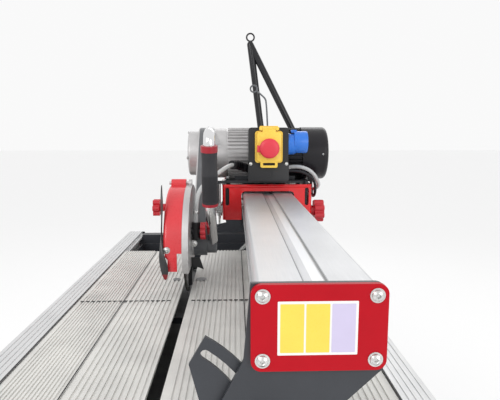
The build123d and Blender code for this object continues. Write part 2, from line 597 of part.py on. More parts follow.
with BuildPart() as belt_cover:
    with BuildSketch(side(CASE_LEFT - 3)):
        tapered_slot(CASE_LOW_RADIUS, CASE_HIGH_RADIUS)
    extrude(amount=3)
    rod_x((CASE_LEFT - 4, CASE_LEFT + 1), BLADE_Y, BLADE_Z, 12, Mode.SUBTRACT)
    rod_x((-76, CASE_LEFT - 3), MOTOR_Y, MOTOR_Z, 66)
    fillet(faces().filter_by(Plane.YZ).sort_by(Axis.X)[0].edges(), 6)
    rod_x((-72, CASE_LEFT + 1), MOTOR_Y, MOTOR_Z, 60, Mode.SUBTRACT)
belt_cover.part.label = "belt_cover"
export_step(belt_cover.part, "parts/belt_cover.step")

with BuildPart() as motor_bell:
    rod_x((CASE_RIGHT, 35), MOTOR_Y, MOTOR_Z, 74)
    chamfer(faces().filter_by(Plane.YZ).sort_by(Axis.X)[0].edges(), 6)
    rod_x((6, 36), MOTOR_Y, MOTOR_Z, 68, Mode.SUBTRACT)
    rod_x((CASE_RIGHT, 6), MOTOR_Y, MOTOR_Z, 32)
    rod_x((CASE_RIGHT - 1, 36), MOTOR_Y, MOTOR_Z, 26, Mode.SUBTRACT)
motor_bell.part.label = "motor_bell"
export_step(motor_bell.part, "parts/motor_bell.step")

with BuildPart() as motor_housing:
    rod_x(HOUSING_X, MOTOR_Y, MOTOR_Z, 70)
    with BuildSketch(side(HOUSING_X[0] + 6)):
        with Locations((MOTOR_Y, MOTOR_Z)):
            with PolarLocations(70, 40, start_angle=4.5):
                Rectangle(2 * (MOTOR_RADIUS - 70), 2.4)
    extrude(amount=HOUSING_X[1] - HOUSING_X[0] - 12)
    rod_x((HOUSING_X[0] - 1, HOUSING_X[1] - 14), MOTOR_Y, MOTOR_Z, 64, Mode.SUBTRACT)
    rod_x((HOUSING_X[1] - 15, HOUSING_X[1] + 1), MOTOR_Y, MOTOR_Z, 26, Mode.SUBTRACT)
motor_housing.part.label = "motor_housing"
export_step(motor_housing.part, "parts/motor_housing.step")

with BuildPart() as fan_cowl:
    rod_x((HOUSING_X[1] - 8, 334), MOTOR_Y, MOTOR_Z, COWL_RADIUS)
    fillet(faces().filter_by(Plane.YZ).sort_by(Axis.X)[-1].edges(), 12)
    rod_x((HOUSING_X[1] - 9, 322), MOTOR_Y, MOTOR_Z, MOTOR_RADIUS + 0.1, Mode.SUBTRACT)
    rod_x((321, 331), MOTOR_Y, MOTOR_Z, 65, Mode.SUBTRACT)
    with BuildSketch(side(330)):
        with Locations((MOTOR_Y, MOTOR_Z)):
            for radius in (22, 36, 50):
                with PolarLocations(radius, 10, start_angle=radius):
                    Rectangle(6, radius * 0.42)
    extrude(amount=5, mode=Mode.SUBTRACT)
    rod_x((330, 335), MOTOR_Y, MOTOR_Z, 5, Mode.SUBTRACT)
fan_cowl.part.label = "fan_cowl"
export_step(fan_cowl.part, "parts/fan_cowl.step")

with BuildPart() as stator:
    rod_x((60, 215), MOTOR_Y, MOTOR_Z, 63.9)
    rod_x((59, 216), MOTOR_Y, MOTOR_Z, 46, Mode.SUBTRACT)
stator.part.label = "stator"
export_step(stator.part, "parts/stator.step")

with BuildPart() as rotor:
    rod_x((62, 213), MOTOR_Y, MOTOR_Z, 45.5)
    rod_x((-66, 300), MOTOR_Y, MOTOR_Z, SHAFT_RADIUS)
    rod_x(PULLEY_X, MOTOR_Y, MOTOR_Z, DRIVE_RADIUS)
rotor.part.label = "rotor"
export_step(rotor.part, "parts/rotor.step")

with BuildPart() as cooling_fan:
    rod_x((276, 300), MOTOR_Y, MOTOR_Z, 24)
    with BuildSketch(side(278)):
        with Locations((MOTOR_Y, MOTOR_Z)):
            with PolarLocations(42, 8):
                Rectangle(44, 3)
    extrude(amount=20)
    rod_x((275, 301), MOTOR_Y, MOTOR_Z, SHAFT_RADIUS, Mode.SUBTRACT)
cooling_fan.part.label = "cooling_fan"
export_step(cooling_fan.part, "parts/cooling_fan.step")

with BuildPart() as drive_belt:
    with BuildSketch(side(PULLEY_X[0] + 2)):
        tapered_slot(DRIVEN_RADIUS + BELT_THICK, DRIVE_RADIUS + BELT_THICK)
        tapered_slot(DRIVEN_RADIUS + 0.3, DRIVE_RADIUS + 0.3, Mode.SUBTRACT)
    extrude(amount=15)
drive_belt.part.label = "drive_belt"
export_step(drive_belt.part, "parts/drive_belt.step")

with BuildPart() as bearings:
    for low in (CASE_RIGHT + 1, CASE_RIGHT + 13):
        rod_x((low, low + 10), BLADE_Y, BLADE_Z, 15.98)
        rod_x((low - 1, low + 11), BLADE_Y, BLADE_Z, ARBOR_RADIUS + 0.04, Mode.SUBTRACT)
    for low in (CASE_RIGHT, 252.5):
        rod_x((low, low + 13), MOTOR_Y, MOTOR_Z, 25.98)
        rod_x((low - 1, low + 14), MOTOR_Y, MOTOR_Z, SHAFT_RADIUS + 0.04, Mode.SUBTRACT)
bearings.part.label = "bearings"
export_step(bearings.part, "parts/bearings.step")

# --------------------------------------------------------- blade and its shaft
with BuildPart() as arbor:
    rod_x((-76, 14), BLADE_Y, BLADE_Z, ARBOR_RADIUS)
    rod_x(PULLEY_X, BLADE_Y, BLADE_Z, DRIVEN_RADIUS)
arbor.part.label = "arbor"
export_step(arbor.part, "parts/arbor.step")

BLADE_SIDES = (BLADE_X - BLADE_THICK / 2, BLADE_X + BLADE_THICK / 2)
with BuildPart() as saw_blade:
    with BuildSketch(side(BLADE_SIDES[0])):
        with Locations((BLADE_Y, BLADE_Z)):
            Circle(BLADE_RADIUS)
            Circle(ARBOR_RADIUS, mode=Mode.SUBTRACT)
            with PolarLocations(BLADE_RADIUS - 6, 16):
                Rectangle(14, 2.2, mode=Mode.SUBTRACT)
            with PolarLocations(70, 8, start_angle=11):
                Circle(5, mode=Mode.SUBTRACT)
    extrude(amount=BLADE_THICK)
saw_blade.part.label = "saw_blade"
export_step(saw_blade.part, "parts/saw_blade.step")

with BuildPart() as blade_flanges:
    rod_x((BLADE_SIDES[1], BLADE_SIDES[1] + 5), BLADE_Y, BLADE_Z, 27)
    rod_x((BLADE_SIDES[0] - 5, BLADE_SIDES[0]), BLADE_Y, BLADE_Z, 27)
    with BuildSketch(side(BLADE_SIDES[0] - 13)):
        with Locations((BLADE_Y, BLADE_Z)):
            RegularPolygon(14, 6)
    extrude(amount=8)
    rod_x((BLADE_SIDES[0] - 14, BLADE_SIDES[1] + 6), BLADE_Y, BLADE_Z, ARBOR_RADIUS, Mode.SUBTRACT)
blade_flanges.part.label = "blade_flanges"
export_step(blade_flanges.part, "parts/blade_flanges.step")

# ----------------------------------------------------------------- blade guard
GUARD_BACK = (CASE_LEFT - 6.5, CASE_LEFT - 3)
RIM_SPLIT = BLADE_X - 1.8
COVER_SIDE = -101.0
GUARD_LIP = TABLE_TOP + 106.0
HINGE_TOP_Z = BLADE_Z + GUARD_RADIUS + 5


def half_disc(radius, bottom, mode=Mode.ADD):
    """Disc round the blade axis, cut off level at the bottom."""
    with Locations((BLADE_Y, BLADE_Z)):
        Circle(radius, mode=mode)
    if mode == Mode.ADD:
        with Locations((BLADE_Y, bottom - radius)):
            Rectangle(4 * radius, 2 * radius, mode=Mode.SUBTRACT)


with BuildPart() as guard_plate:
    with BuildSketch(side(GUARD_BACK[0])):
        half_disc(GUARD_RADIUS, TABLE_TOP + 58)
    extrude(amount=GUARD_BACK[1] - GUARD_BACK[0])
    with BuildSketch(side(RIM_SPLIT)):
        half_disc(GUARD_RADIUS, TABLE_TOP + 58)
        half_disc(GUARD_RADIUS - 3, 0, Mode.SUBTRACT)
    extrude(amount=GUARD_BACK[0] - RIM_SPLIT)
    rod_x((GUARD_BACK[0] - 1, GUARD_BACK[1] + 1), BLADE_Y, BLADE_Z, 28.5, Mode.SUBTRACT)
    block((RIM_SPLIT, GUARD_BACK[1]), (BLADE_Y - 14, BLADE_Y + 14),
          (BLADE_Z + GUARD_RADIUS - 6, HINGE_TOP_Z - 5))
    rod_x((-53, -46), BLADE_Y, HINGE_TOP_Z, 9)
    rod_x((-102, -46), BLADE_Y, HINGE_TOP_Z, 4)
guard_plate.part.label = "guard_plate"
export_step(guard_plate.part, "parts/guard_plate.step")

KNOB = (BLADE_Y - 72, TABLE_TOP + 200)
with BuildPart() as guard_cover:
    with BuildSketch(side(COVER_SIDE)):
        half_disc(GUARD_RADIUS, GUARD_LIP)
    extrude(amount=RIM_SPLIT - 0.4 - COVER_SIDE)
    fillet(faces().filter_by(Plane.YZ).sort_by(Axis.X)[0].edges().filter_by(GeomType.CIRCLE), 8)
    with BuildSketch(side(COVER_SIDE + 3)):
        half_disc(GUARD_RADIUS - 3, GUARD_LIP - 10)
    extrude(amount=RIM_SPLIT - COVER_SIDE, mode=Mode.SUBTRACT)
    block((-96, -60), (BLADE_Y - 12, BLADE_Y + 12), (BLADE_Z + GUARD_RADIUS - 3, HINGE_TOP_Z))
    rod_x((-96, -60), BLADE_Y, HINGE_TOP_Z, 10)
    rod_x((-97, -59), BLADE_Y, HINGE_TOP_Z, 4.05, Mode.SUBTRACT)
    rod_x((COVER_SIDE - 1, COVER_SIDE + 4), *KNOB, 5, Mode.SUBTRACT)
guard_cover.part.label = "guard_cover"
export_step(guard_cover.part, "parts/guard_cover.step")

# thin rubber curtain that hangs off the cover's outer face; its tip is higher than it is far from
# the tilt axis, so that it clears the table when the bridge is tilted fully
SKIRT_THICK = 2.5
SKIRT_TIP = 48.5
with BuildPart() as guard_skirt:
    with BuildSketch(side(COVER_SIDE - SKIRT_THICK)):
        with BuildLine():
            lip = ThreePointArc((-62, TABLE_TOP + 257), (-118, TABLE_TOP + 150), (-100, TABLE_TOP + SKIRT_TIP))
            Line(lip @ 1, (-60, TABLE_TOP + 70))
            Line((-60, TABLE_TOP + 70), (-42, TABLE_TOP + 190))
            Line((-42, TABLE_TOP + 190), lip @ 0)
        make_face()
        with Locations(KNOB):
            Circle(14, mode=Mode.SUBTRACT)
    extrude(amount=SKIRT_THICK)
guard_skirt.part.label = "guard_skirt"
export_step(guard_skirt.part, "parts/guard_skirt.step")

with BuildPart() as guard_knob:
    with BuildSketch(side(-130)):
        with Locations(KNOB):
            Circle(14)
            with PolarLocations(14.5, 6):
                Circle(6)
    extrude(amount=15)
    rod_x((-115, COVER_SIDE - 0.3), *KNOB, 9)
    rod_x((COVER_SIDE - 0.3, -84), *KNOB, 4.95)
guard_knob.part.label = "guard_knob"
export_step(guard_knob.part, "parts/guard_knob.step")

# --------------------------------------------------------- handle on the head
HANDLE_X = 5.5
HANDLE_POINTS = [
    (HANDLE_X, 28, BLADE_Z - 4), (HANDLE_X, -86, TABLE_TOP + 200), (HANDLE_X, -113, TABLE_TOP + 368),
    (HANDLE_X, -60, TABLE_TOP + 376), (HANDLE_X, 262, TABLE_TOP + 347),
]
with BuildPart() as handle_tube:
    with BuildLine() as handle_route:
        FilletPolyline(*HANDLE_POINTS, radius=[30, 20, 26])
    with BuildSketch(Plane(handle_route.line @ 0, z_dir=handle_route.line % 0)):
        Circle(TUBE_RADIUS)
    sweep()
    rod_x((-12, 36), BLADE_Y, BLADE_Z, 30, Mode.SUBTRACT)
    rod_x((-12, 36), MOTOR_Y, MOTOR_Z, 74, Mode.SUBTRACT)
handle_tube.part.label = "handle_tube"
export_step(handle_tube.part, "parts/handle_tube.step")

GRIP_LOW = Vector(*HANDLE_POINTS[1])
GRIP_AXIS = (Vector(*HANDLE_POINTS[2]) - GRIP_LOW).normalized()
with BuildPart() as handle_grip:
    with BuildSketch(Plane(GRIP_LOW + GRIP_AXIS * 18, z_dir=GRIP_AXIS)):
        Circle(18)
        Circle(TUBE_RADIUS, mode=Mode.SUBTRACT)
    extrude(amount=130)
handle_grip.part.label = "handle_grip"
export_step(handle_grip.part, "parts/handle_grip.step")

# ------------------------------------------------------------------ water tap
TAP_Y, TAP_Z = -23.0, TABLE_TOP + 141.0
with BuildPart() as tap_body:
    rod_z(-33, TAP_Y, (TABLE_TOP + 120, TABLE_TOP + 162), 10)
    rod_x((GUARD_BACK[1], -22), TAP_Y, TAP_Z, 8)
tap_body.part.label = "tap_body"
export_step(tap_body.part, "parts/tap_body.step")

with BuildPart() as tap_knob:
    with BuildSketch(side(-21.7)):
        with Locations((TAP_Y, TAP_Z)):
            Circle(17)
            with PolarLocations(15, 8):
                Circle(6)
    extrude(amount=12)
tap_knob.part.label = "tap_knob"
export_step(tap_knob.part, "parts/tap_knob.step")

# ---------------------------------------------------- switch box and its socket
SWITCH_X, SWITCH_Y = (98.0, 206.0), (140.0, 198.0)
SWITCH_Z = (TABLE_TOP + 243.0, TABLE_TOP + 388.0)
START = (136.0, TABLE_TOP + 316.0)
with BuildPart() as switch_box:
    block(SWITCH_X, SWITCH_Y, SWITCH_Z)
    fillet(edges().filter_by(Axis.Y), 8)
    block((SWITCH_X[0] + 3, SWITCH_X[1] - 3), (SWITCH_Y[0] + 3, SWITCH_Y[1] - 3),
          (SWITCH_Z[0] + 3, SWITCH_Z[1] - 3), Mode.SUBTRACT)
    rod_y(START[0], (SWITCH_Y[0] - 1, SWITCH_Y[0] + 4), START[1], 11.3, Mode.SUBTRACT)
    block((128, 176), (SWITCH_Y[1], MOTOR_Y), (TABLE_TOP + 306, TABLE_TOP + 334))
    rod_x((127, 177), MOTOR_Y, MOTOR_Z, MOTOR_RADIUS + 0.1, Mode.SUBTRACT)
switch_box.part.label = "switch_box"
export_step(switch_box.part, "parts/switch_box.step")

HOUSING_Y = (130.0, 140.0)
FLAP_HINGE = (122.5, TABLE_TOP + 385.0)
FLAP_PIN_RADIUS = 1.5
with BuildPart() as switch_housing:
    block((115, 189), HOUSING_Y, (TABLE_TOP + 294, TABLE_TOP + 379))
    fillet(edges().filter_by(Axis.Y), 8)
    block((128, 176), HOUSING_Y, (TABLE_TOP + 375, TABLE_TOP + 392))
    rod_y(START[0], (HOUSING_Y[0] - 1, HOUSING_Y[1] + 1), START[1], 11.3, Mode.SUBTRACT)
    block((126, 178), (118, HOUSING_Y[0]), (FLAP_HINGE[1] - 4, FLAP_HINGE[1] + 4))
    block((134, 170), (117, HOUSING_Y[0]), (FLAP_HINGE[1] - 5, FLAP_HINGE[1] + 5), Mode.SUBTRACT)
    rod_x((125, 179), *FLAP_HINGE, FLAP_PIN_RADIUS + 0.1, Mode.SUBTRACT)
switch_housing.part.label = "switch_housing"
export_step(switch_housing.part, "parts/switch_housing.step")

# flap with its hinge barrel and pin, a pull loop at its foot and the stop mushroom on its front
with BuildPart() as switch_flap:
    block((120, 184), (119, 126), (TABLE_TOP + 297, TABLE_TOP + 376))
    fillet(edges().filter_by(Axis.Y), 7)
    block((134.3, 169.7), (119, 126), (TABLE_TOP + 374, FLAP_HINGE[1]))
    rod_x((134.3, 169.7), *FLAP_HINGE, 3.5)
    rod_x((127, 177), *FLAP_HINGE, FLAP_PIN_RADIUS)
    block((129, 175), (120, 124), (TABLE_TOP + 282, TABLE_TOP + 300))
    block((136, 168), (119.5, 124.5), (TABLE_TOP + 287, TABLE_TOP + 294), Mode.SUBTRACT)
    rod_y(152, (112, 119), TABLE_TOP + 333, 15)
    rod_y(152, (100, 112), TABLE_TOP + 333, 26.5)
    fillet(faces().filter_by(Plane.XZ).sort_by(Axis.Y)[0].edges(), 5)
switch_flap.part.label = "switch_flap"
export_step(switch_flap.part, "parts/switch_flap.step")

with BuildPart() as start_button:
    rod_y(START[0], (127, 138), START[1], 11)
start_button.part.label = "start_button"
export_step(start_button.part, "parts/start_button.step")

with BuildPart() as power_inlet:
    block((SWITCH_X[1], 213), (142, 196), (TABLE_TOP + 312, TABLE_TOP + 372))
    fillet(edges().filter_by(Axis.X), 6)
    rod_x((213, 270), 169, TABLE_TOP + 342, 27)
    rod_x((220, 271), 169, TABLE_TOP + 342, 24, Mode.SUBTRACT)
    for turn in (90, 210, 330):
        y = 169 + 11 * math.cos(math.radians(turn))
        z = TABLE_TOP + 342 + 11 * math.sin(math.radians(turn))
        rod_x((218, 252), y, z, 3)
power_inlet.part.label = "power_inlet"
export_step(power_inlet.part, "parts/power_inlet.step")

# ----------------------------------------------------------- pump and hoses
with BuildPart() as water_pump:
    block((196, 262), (470, 550), (TRAY_FLOOR + 3, TABLE_TOP - 55))
    fillet(edges().filter_by(Axis.Z), 12)
    rod_x((180, 197), 520, TABLE_TOP - 72, 8)
water_pump.part.label = "water_pump"
export_step(water_pump.part, "parts/water_pump.step")

HOSE_RADIUS = 5.5


def hose(name, points, radius):
    """Plain hose or cable along straight runs joined by tangent arcs."""
    with BuildLine() as route:
        FilletPolyline(*points, radius=bend_radii(name, points))
    with BuildSketch(Plane(route.line @ 0, z_dir=route.line % 0)) as section:
        Circle(radius)
    sweep(section.sketch, path=route.line)
    print(name, "length", round(sum(edge.length for edge in route.edges())))


FEED_POINTS = [
    (-33, TAP_Y, TABLE_TOP + 162), (-33, TAP_Y, TABLE_TOP + 197), (-27, -2, TABLE_TOP + 237),
    (3, 44, TABLE_TOP + 262), (36, 98, TABLE_TOP + 276), (58, 150, TABLE_TOP + 279),
    (76, 204, TABLE_TOP + 270), (130, 213, TABLE_TOP + 262), (186, 211, TABLE_TOP + 268),
    (234, 205, TABLE_TOP + 282), (280, 203, TABLE_TOP + 268), (304, 213, TABLE_TOP + 230),
    (306, 248, TABLE_TOP + 214), (298, 280, TABLE_TOP + 206), (CLIP[0], CLIP[1], TABLE_TOP + 184),
    (CLIP[0], CLIP[1], TABLE_TOP + 152),
]
with BuildPart() as feed_hose:
    hose("feed_hose", FEED_POINTS, HOSE_RADIUS)
feed_hose.part.label = "feed_hose"
export_step(feed_hose.part, "parts/feed_hose.step")

LOOP_POINTS = [
    (CLIP[0], CLIP[1], TABLE_TOP + 130), (CLIP[0], CLIP[1], TABLE_TOP + 104), (272, 318, TABLE_TOP + 72),
    (222, 344, TABLE_TOP + 62), (168, 356, TABLE_TOP + 56), (116, 358, TABLE_TOP + 36),
    (74, 360, TABLE_TOP - 10), (36, 372, TABLE_TOP - 54), (-8, 400, TABLE_TOP - 84),
    (-62, 436, TABLE_TOP - 94), (-98, 484, TABLE_TOP - 93), (-76, 528, TABLE_TOP - 92),
    (-18, 540, TABLE_TOP - 91), (42, 538, TABLE_TOP - 89), (96, 546, TABLE_TOP - 74),
    (136, 558, TABLE_TOP - 38), (148, 566, TABLE_TOP + 14), (152, 566, TABLE_TOP + 60),
    (152, 566, TABLE_TOP + 100),
]
with BuildPart() as loop_hose:
    hose("loop_hose", LOOP_POINTS, HOSE_RADIUS)
loop_hose.part.label = "loop_hose"
export_step(loop_hose.part, "parts/loop_hose.step")

PUMP_POINTS = [
    (180, 520, TABLE_TOP - 72), (148, 520, TABLE_TOP - 72), (116, 502, TABLE_TOP - 66),
    (108, 468, TABLE_TOP - 50), (134, 446, TABLE_TOP - 26), (172, 452, TABLE_TOP + 2),
    (196, 484, TABLE_TOP + 24), (196, 528, TABLE_TOP + 36), (179, 566, TABLE_TOP + 60),
    (179, 566, TABLE_TOP + 100),
]
with BuildPart() as pump_hose:
    hose("pump_hose", PUMP_POINTS, HOSE_RADIUS)
pump_hose.part.label = "pump_hose"
export_step(pump_hose.part, "parts/pump_hose.step")

LEAD_POINTS = [
    (SWITCH_X[1], 168, TABLE_TOP + 270), (236, 168, TABLE_TOP + 270), (264, 172, TABLE_TOP + 260),
    (286, 180, TABLE_TOP + 240), (291, 196, TABLE_TOP + 206), (290, 226, TABLE_TOP + 188),
    (288, 254, TABLE_TOP + 198), (288, 258, TABLE_TOP + 232),
]
with BuildPart() as motor_lead:
    hose("motor_lead", LEAD_POINTS, 4)
    block((277, 299), (246, 268), (TABLE_TOP + 232, MOTOR_Z))
    rod_x((275, 301), MOTOR_Y, MOTOR_Z, COWL_RADIUS, Mode.SUBTRACT)
motor_lead.part.label = "motor_lead"
export_step(motor_lead.part, "parts/motor_lead.step")
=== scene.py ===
import bmesh
import bpy
import json
import math
from mathutils import Matrix, Vector


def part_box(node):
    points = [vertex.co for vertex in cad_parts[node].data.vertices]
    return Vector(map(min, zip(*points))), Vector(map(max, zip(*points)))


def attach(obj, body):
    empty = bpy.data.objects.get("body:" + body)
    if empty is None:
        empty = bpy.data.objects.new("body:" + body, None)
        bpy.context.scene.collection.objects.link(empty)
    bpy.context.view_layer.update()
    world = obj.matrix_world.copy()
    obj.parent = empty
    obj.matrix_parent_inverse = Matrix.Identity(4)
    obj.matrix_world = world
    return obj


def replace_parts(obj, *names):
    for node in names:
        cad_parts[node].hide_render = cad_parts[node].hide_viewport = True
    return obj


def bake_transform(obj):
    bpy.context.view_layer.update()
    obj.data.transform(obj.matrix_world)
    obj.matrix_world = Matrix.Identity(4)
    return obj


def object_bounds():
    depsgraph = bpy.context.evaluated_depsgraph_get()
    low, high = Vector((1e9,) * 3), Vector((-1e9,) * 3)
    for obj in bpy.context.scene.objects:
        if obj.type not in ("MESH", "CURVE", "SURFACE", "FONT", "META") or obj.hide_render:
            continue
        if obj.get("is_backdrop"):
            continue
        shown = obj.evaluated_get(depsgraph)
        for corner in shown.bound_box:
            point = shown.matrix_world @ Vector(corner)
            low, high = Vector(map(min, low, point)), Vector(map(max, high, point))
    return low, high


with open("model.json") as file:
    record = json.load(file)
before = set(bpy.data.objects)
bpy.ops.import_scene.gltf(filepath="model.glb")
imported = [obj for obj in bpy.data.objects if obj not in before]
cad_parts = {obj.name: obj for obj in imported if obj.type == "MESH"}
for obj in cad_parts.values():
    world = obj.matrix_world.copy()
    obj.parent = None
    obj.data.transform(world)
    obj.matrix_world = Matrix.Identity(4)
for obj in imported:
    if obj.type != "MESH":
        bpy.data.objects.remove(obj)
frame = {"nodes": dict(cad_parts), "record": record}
cad_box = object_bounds()

# ------------------------------------------------------------------ places
# boxes of CAD nodes, as (lowest corner, highest corner), in metres
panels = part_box("table_panels")
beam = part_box("bridge_beam")
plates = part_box("end_plates")
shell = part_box("carriage_shell")
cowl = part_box("fan_cowl")
case_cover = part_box("belt_cover")
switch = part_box("switch_box")
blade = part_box("saw_blade")
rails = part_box("side_rails")

MM = 0.001
X_AXIS, Y_AXIS, Z_AXIS = Vector((1, 0, 0)), Vector((0, 1, 0)), Vector((0, 0, 1))
FRONT = -Y_AXIS
TABLE = panels[1].z
SWITCH_X = 0.152
MUSHROOM_Z = TABLE + 0.333


def middle(corners):
    return (corners[0] + corners[1]) / 2


def place(x, y, z):
    """A point given in millimetres, with its height counted from the table top."""
    return Vector((x * MM, y * MM, TABLE + z * MM))


MOTOR = middle(cowl)
BLADE = middle(blade)


# --------------------------------------------------------------- materials
GRAIN_DEPTH = 0.0006
TURNING_MARKS_PER_M = 3500.0
DUST_COLOUR = (0.6, 0.58, 0.54, 1)


def socket(node, name, value):
    node.inputs[name].default_value = value


def material(name, colour, rough=0.5, metal=0.0, grain=0.05, scale=400.0, stretch=(1, 1, 1), blotch=0.10,
             blotch_scale=14.0, dust=0.0, coat=0.0, clear=0.0, spec=0.5, second=None, second_where=None, rings=None,
             bands=()):
    """Procedural finish: broad colour variation, fine grain in bump and roughness, dust on faces that look up."""
    made = bpy.data.materials.new(name)
    made.use_nodes = True
    nodes, links = made.node_tree.nodes, made.node_tree.links
    shader = nodes["Principled BSDF"]
    coords = nodes.new("ShaderNodeTexCoord")
    mapping = nodes.new("ShaderNodeMapping")
    socket(mapping, "Scale", stretch)
    links.new(coords.outputs["Object"], mapping.inputs["Vector"])

    fine = nodes.new("ShaderNodeTexNoise")
    socket(fine, "Scale", scale)
    socket(fine, "Detail", 4.0)
    links.new(mapping.outputs["Vector"], fine.inputs["Vector"])
    broad = nodes.new("ShaderNodeTexNoise")
    socket(broad, "Scale", blotch_scale)
    socket(broad, "Detail", 5.0)
    socket(broad, "Roughness", 0.62)
    links.new(coords.outputs["Object"], broad.inputs["Vector"])

    tint = nodes.new("ShaderNodeMapRange")
    socket(tint, "From Min", 0.3)
    socket(tint, "From Max", 0.7)
    socket(tint, "To Min", 1.0 - blotch)
    socket(tint, "To Max", 1.0 + blotch)
    links.new(broad.outputs["Fac"], tint.inputs["Value"])
    base = nodes.new("ShaderNodeVectorMath")
    base.operation = "SCALE"
    base.inputs[0].default_value = colour
    links.new(tint.outputs["Result"], base.inputs["Scale"])
    paint = base.outputs["Vector"]

    if second is not None:
        paint = second_colour(nodes, links, coords, paint, second, second_where)
    if rings is not None:
        paint = ring_marks(nodes, links, coords, paint, rings)
    for band in bands:
        paint = banded(nodes, links, coords, paint, band)
    if dust > 0:
        paint = dusted(nodes, links, broad, paint, dust)
    links.new(paint, shader.inputs["Base Color"])

    gloss = nodes.new("ShaderNodeMapRange")
    socket(gloss, "From Min", 0.25)
    socket(gloss, "From Max", 0.75)
    socket(gloss, "To Min", max(0.02, rough - 0.09))
    socket(gloss, "To Max", min(1.0, rough + 0.09))
    links.new(fine.outputs["Fac"], gloss.inputs["Value"])
    links.new(gloss.outputs["Result"], shader.inputs["Roughness"])

    bump = nodes.new("ShaderNodeBump")
    socket(bump, "Strength", grain)
    socket(bump, "Distance", GRAIN_DEPTH)
    links.new(fine.outputs["Fac"], bump.inputs["Height"])
    links.new(bump.outputs["Normal"], shader.inputs["Normal"])
    socket(shader, "Metallic", metal)
    socket(shader, "Coat Weight", coat)
    socket(shader, "Transmission Weight", clear)
    socket(shader, "Specular IOR Level", spec)
    return made


def mixed(nodes, links, share, paint, colour):
    """The paint, with another colour laid over it by a share."""
    mix = nodes.new("ShaderNodeMix")
    mix.data_type = "RGBA"
    links.new(share, mix.inputs["Factor"])
    links.new(paint, mix.inputs["A"])
    mix.inputs["B"].default_value = colour
    return mix.outputs["Result"]


def math_node(nodes, links, operation, first, second):
    """A Math node of two values; the second is a number or another node's output."""
    made = nodes.new("ShaderNodeMath")
    made.operation = operation
    links.new(first, made.inputs[0])
    if isinstance(second, float):
        made.inputs[1].default_value = second
    else:
        links.new(second, made.inputs[1])
    return made.outputs["Value"]


def second_colour(nodes, links, coords, paint, second, where):
    """Another colour beyond a plane: where is (axis, position)."""
    axis, position = where
    parts = nodes.new("ShaderNodeSeparateXYZ")
    links.new(coords.outputs["Object"], parts.inputs["Vector"])
    beyond = math_node(nodes, links, "GREATER_THAN", parts.outputs[axis], position)
    return mixed(nodes, links, beyond, paint, (*second, 1))


def banded(nodes, links, coords, paint, band):
    """Another colour between two x and above a height: band is (low, high, floor, colour)."""
    low, high, floor, colour = band
    parts = nodes.new("ShaderNodeSeparateXYZ")
    links.new(coords.outputs["Object"], parts.inputs["Vector"])
    past_low = math_node(nodes, links, "GREATER_THAN", parts.outputs["X"], low)
    before_high = math_node(nodes, links, "LESS_THAN", parts.outputs["X"], high)
    on_top = math_node(nodes, links, "GREATER_THAN", parts.outputs["Z"], floor)
    between = math_node(nodes, links, "MULTIPLY", past_low, before_high)
    share = math_node(nodes, links, "MULTIPLY", between, on_top)
    return mixed(nodes, links, share, paint, (*colour, 1))


def ring_marks(nodes, links, coords, paint, rings):
    """Turning marks round an axis through a centre, and a darker band outside a radius."""
    centre, limit, dark = rings
    shift = nodes.new("ShaderNodeVectorMath")
    shift.operation = "SUBTRACT"
    shift.inputs[1].default_value = centre
    links.new(coords.outputs["Object"], shift.inputs[0])
    flatten = nodes.new("ShaderNodeVectorMath")
    flatten.operation = "MULTIPLY"
    flatten.inputs[1].default_value = (0, 1, 1)
    links.new(shift.outputs["Vector"], flatten.inputs[0])
    radius = nodes.new("ShaderNodeVectorMath")
    radius.operation = "LENGTH"
    links.new(flatten.outputs["Vector"], radius.inputs[0])
    marks = nodes.new("ShaderNodeMath")
    marks.operation = "SINE"
    spread = math_node(nodes, links, "MULTIPLY", radius.outputs["Value"], TURNING_MARKS_PER_M)
    links.new(spread, marks.inputs[0])
    level = nodes.new("ShaderNodeMapRange")
    socket(level, "From Min", -1.0)
    socket(level, "To Min", 0.86)
    socket(level, "To Max", 1.06)
    links.new(marks.outputs["Value"], level.inputs["Value"])
    scaled = nodes.new("ShaderNodeVectorMath")
    scaled.operation = "SCALE"
    links.new(paint, scaled.inputs[0])
    links.new(level.outputs["Result"], scaled.inputs["Scale"])
    outside = math_node(nodes, links, "GREATER_THAN", radius.outputs["Value"], limit)
    return mixed(nodes, links, outside, scaled.outputs["Vector"], (*dark, 1))


def dusted(nodes, links, broad, paint, amount):
    """Pale stone dust that settles on faces that look up."""
    facing = nodes.new("ShaderNodeNewGeometry")
    parts = nodes.new("ShaderNodeSeparateXYZ")
    links.new(facing.outputs["Normal"], parts.inputs["Vector"])
    lying = nodes.new("ShaderNodeMapRange")
    socket(lying, "From Min", 0.3)
    socket(lying, "From Max", 1.0)
    socket(lying, "To Max", amount)
    links.new(parts.outputs["Z"], lying.inputs["Value"])
    patchy = math_node(nodes, links, "MULTIPLY", lying.outputs["Result"], broad.outputs["Fac"])
    return mixed(nodes, links, patchy, paint, DUST_COLOUR)


# finishes that only this scene has, and the record's slot that each stands under
LENGTHWISE = (1, 0.03, 1)
CHANNEL_FLOOR = beam[1].z - 0.0045
# the lengthwise channel in the beam's top: painted shade on its edges and a painted highlight on its floor, as (from x,
# to x, above z, colour)
CHANNEL_PAINTED_LIGHT_BANDS = (
    (0.1385, 0.1412, CHANNEL_FLOOR, (0.24, 0.245, 0.25)),
    (0.1520, 0.1655, CHANNEL_FLOOR, (0.80, 0.805, 0.81)),
    (0.1668, 0.1692, CHANNEL_FLOOR, (0.38, 0.385, 0.39)),
)
RED = (0.74, 0.003, 0.008)
FINISHES = {}


def add_finish(name, *numbers, **more):
    """Keeps a finish under its name."""
    FINISHES[name] = material(name, *numbers, **more)


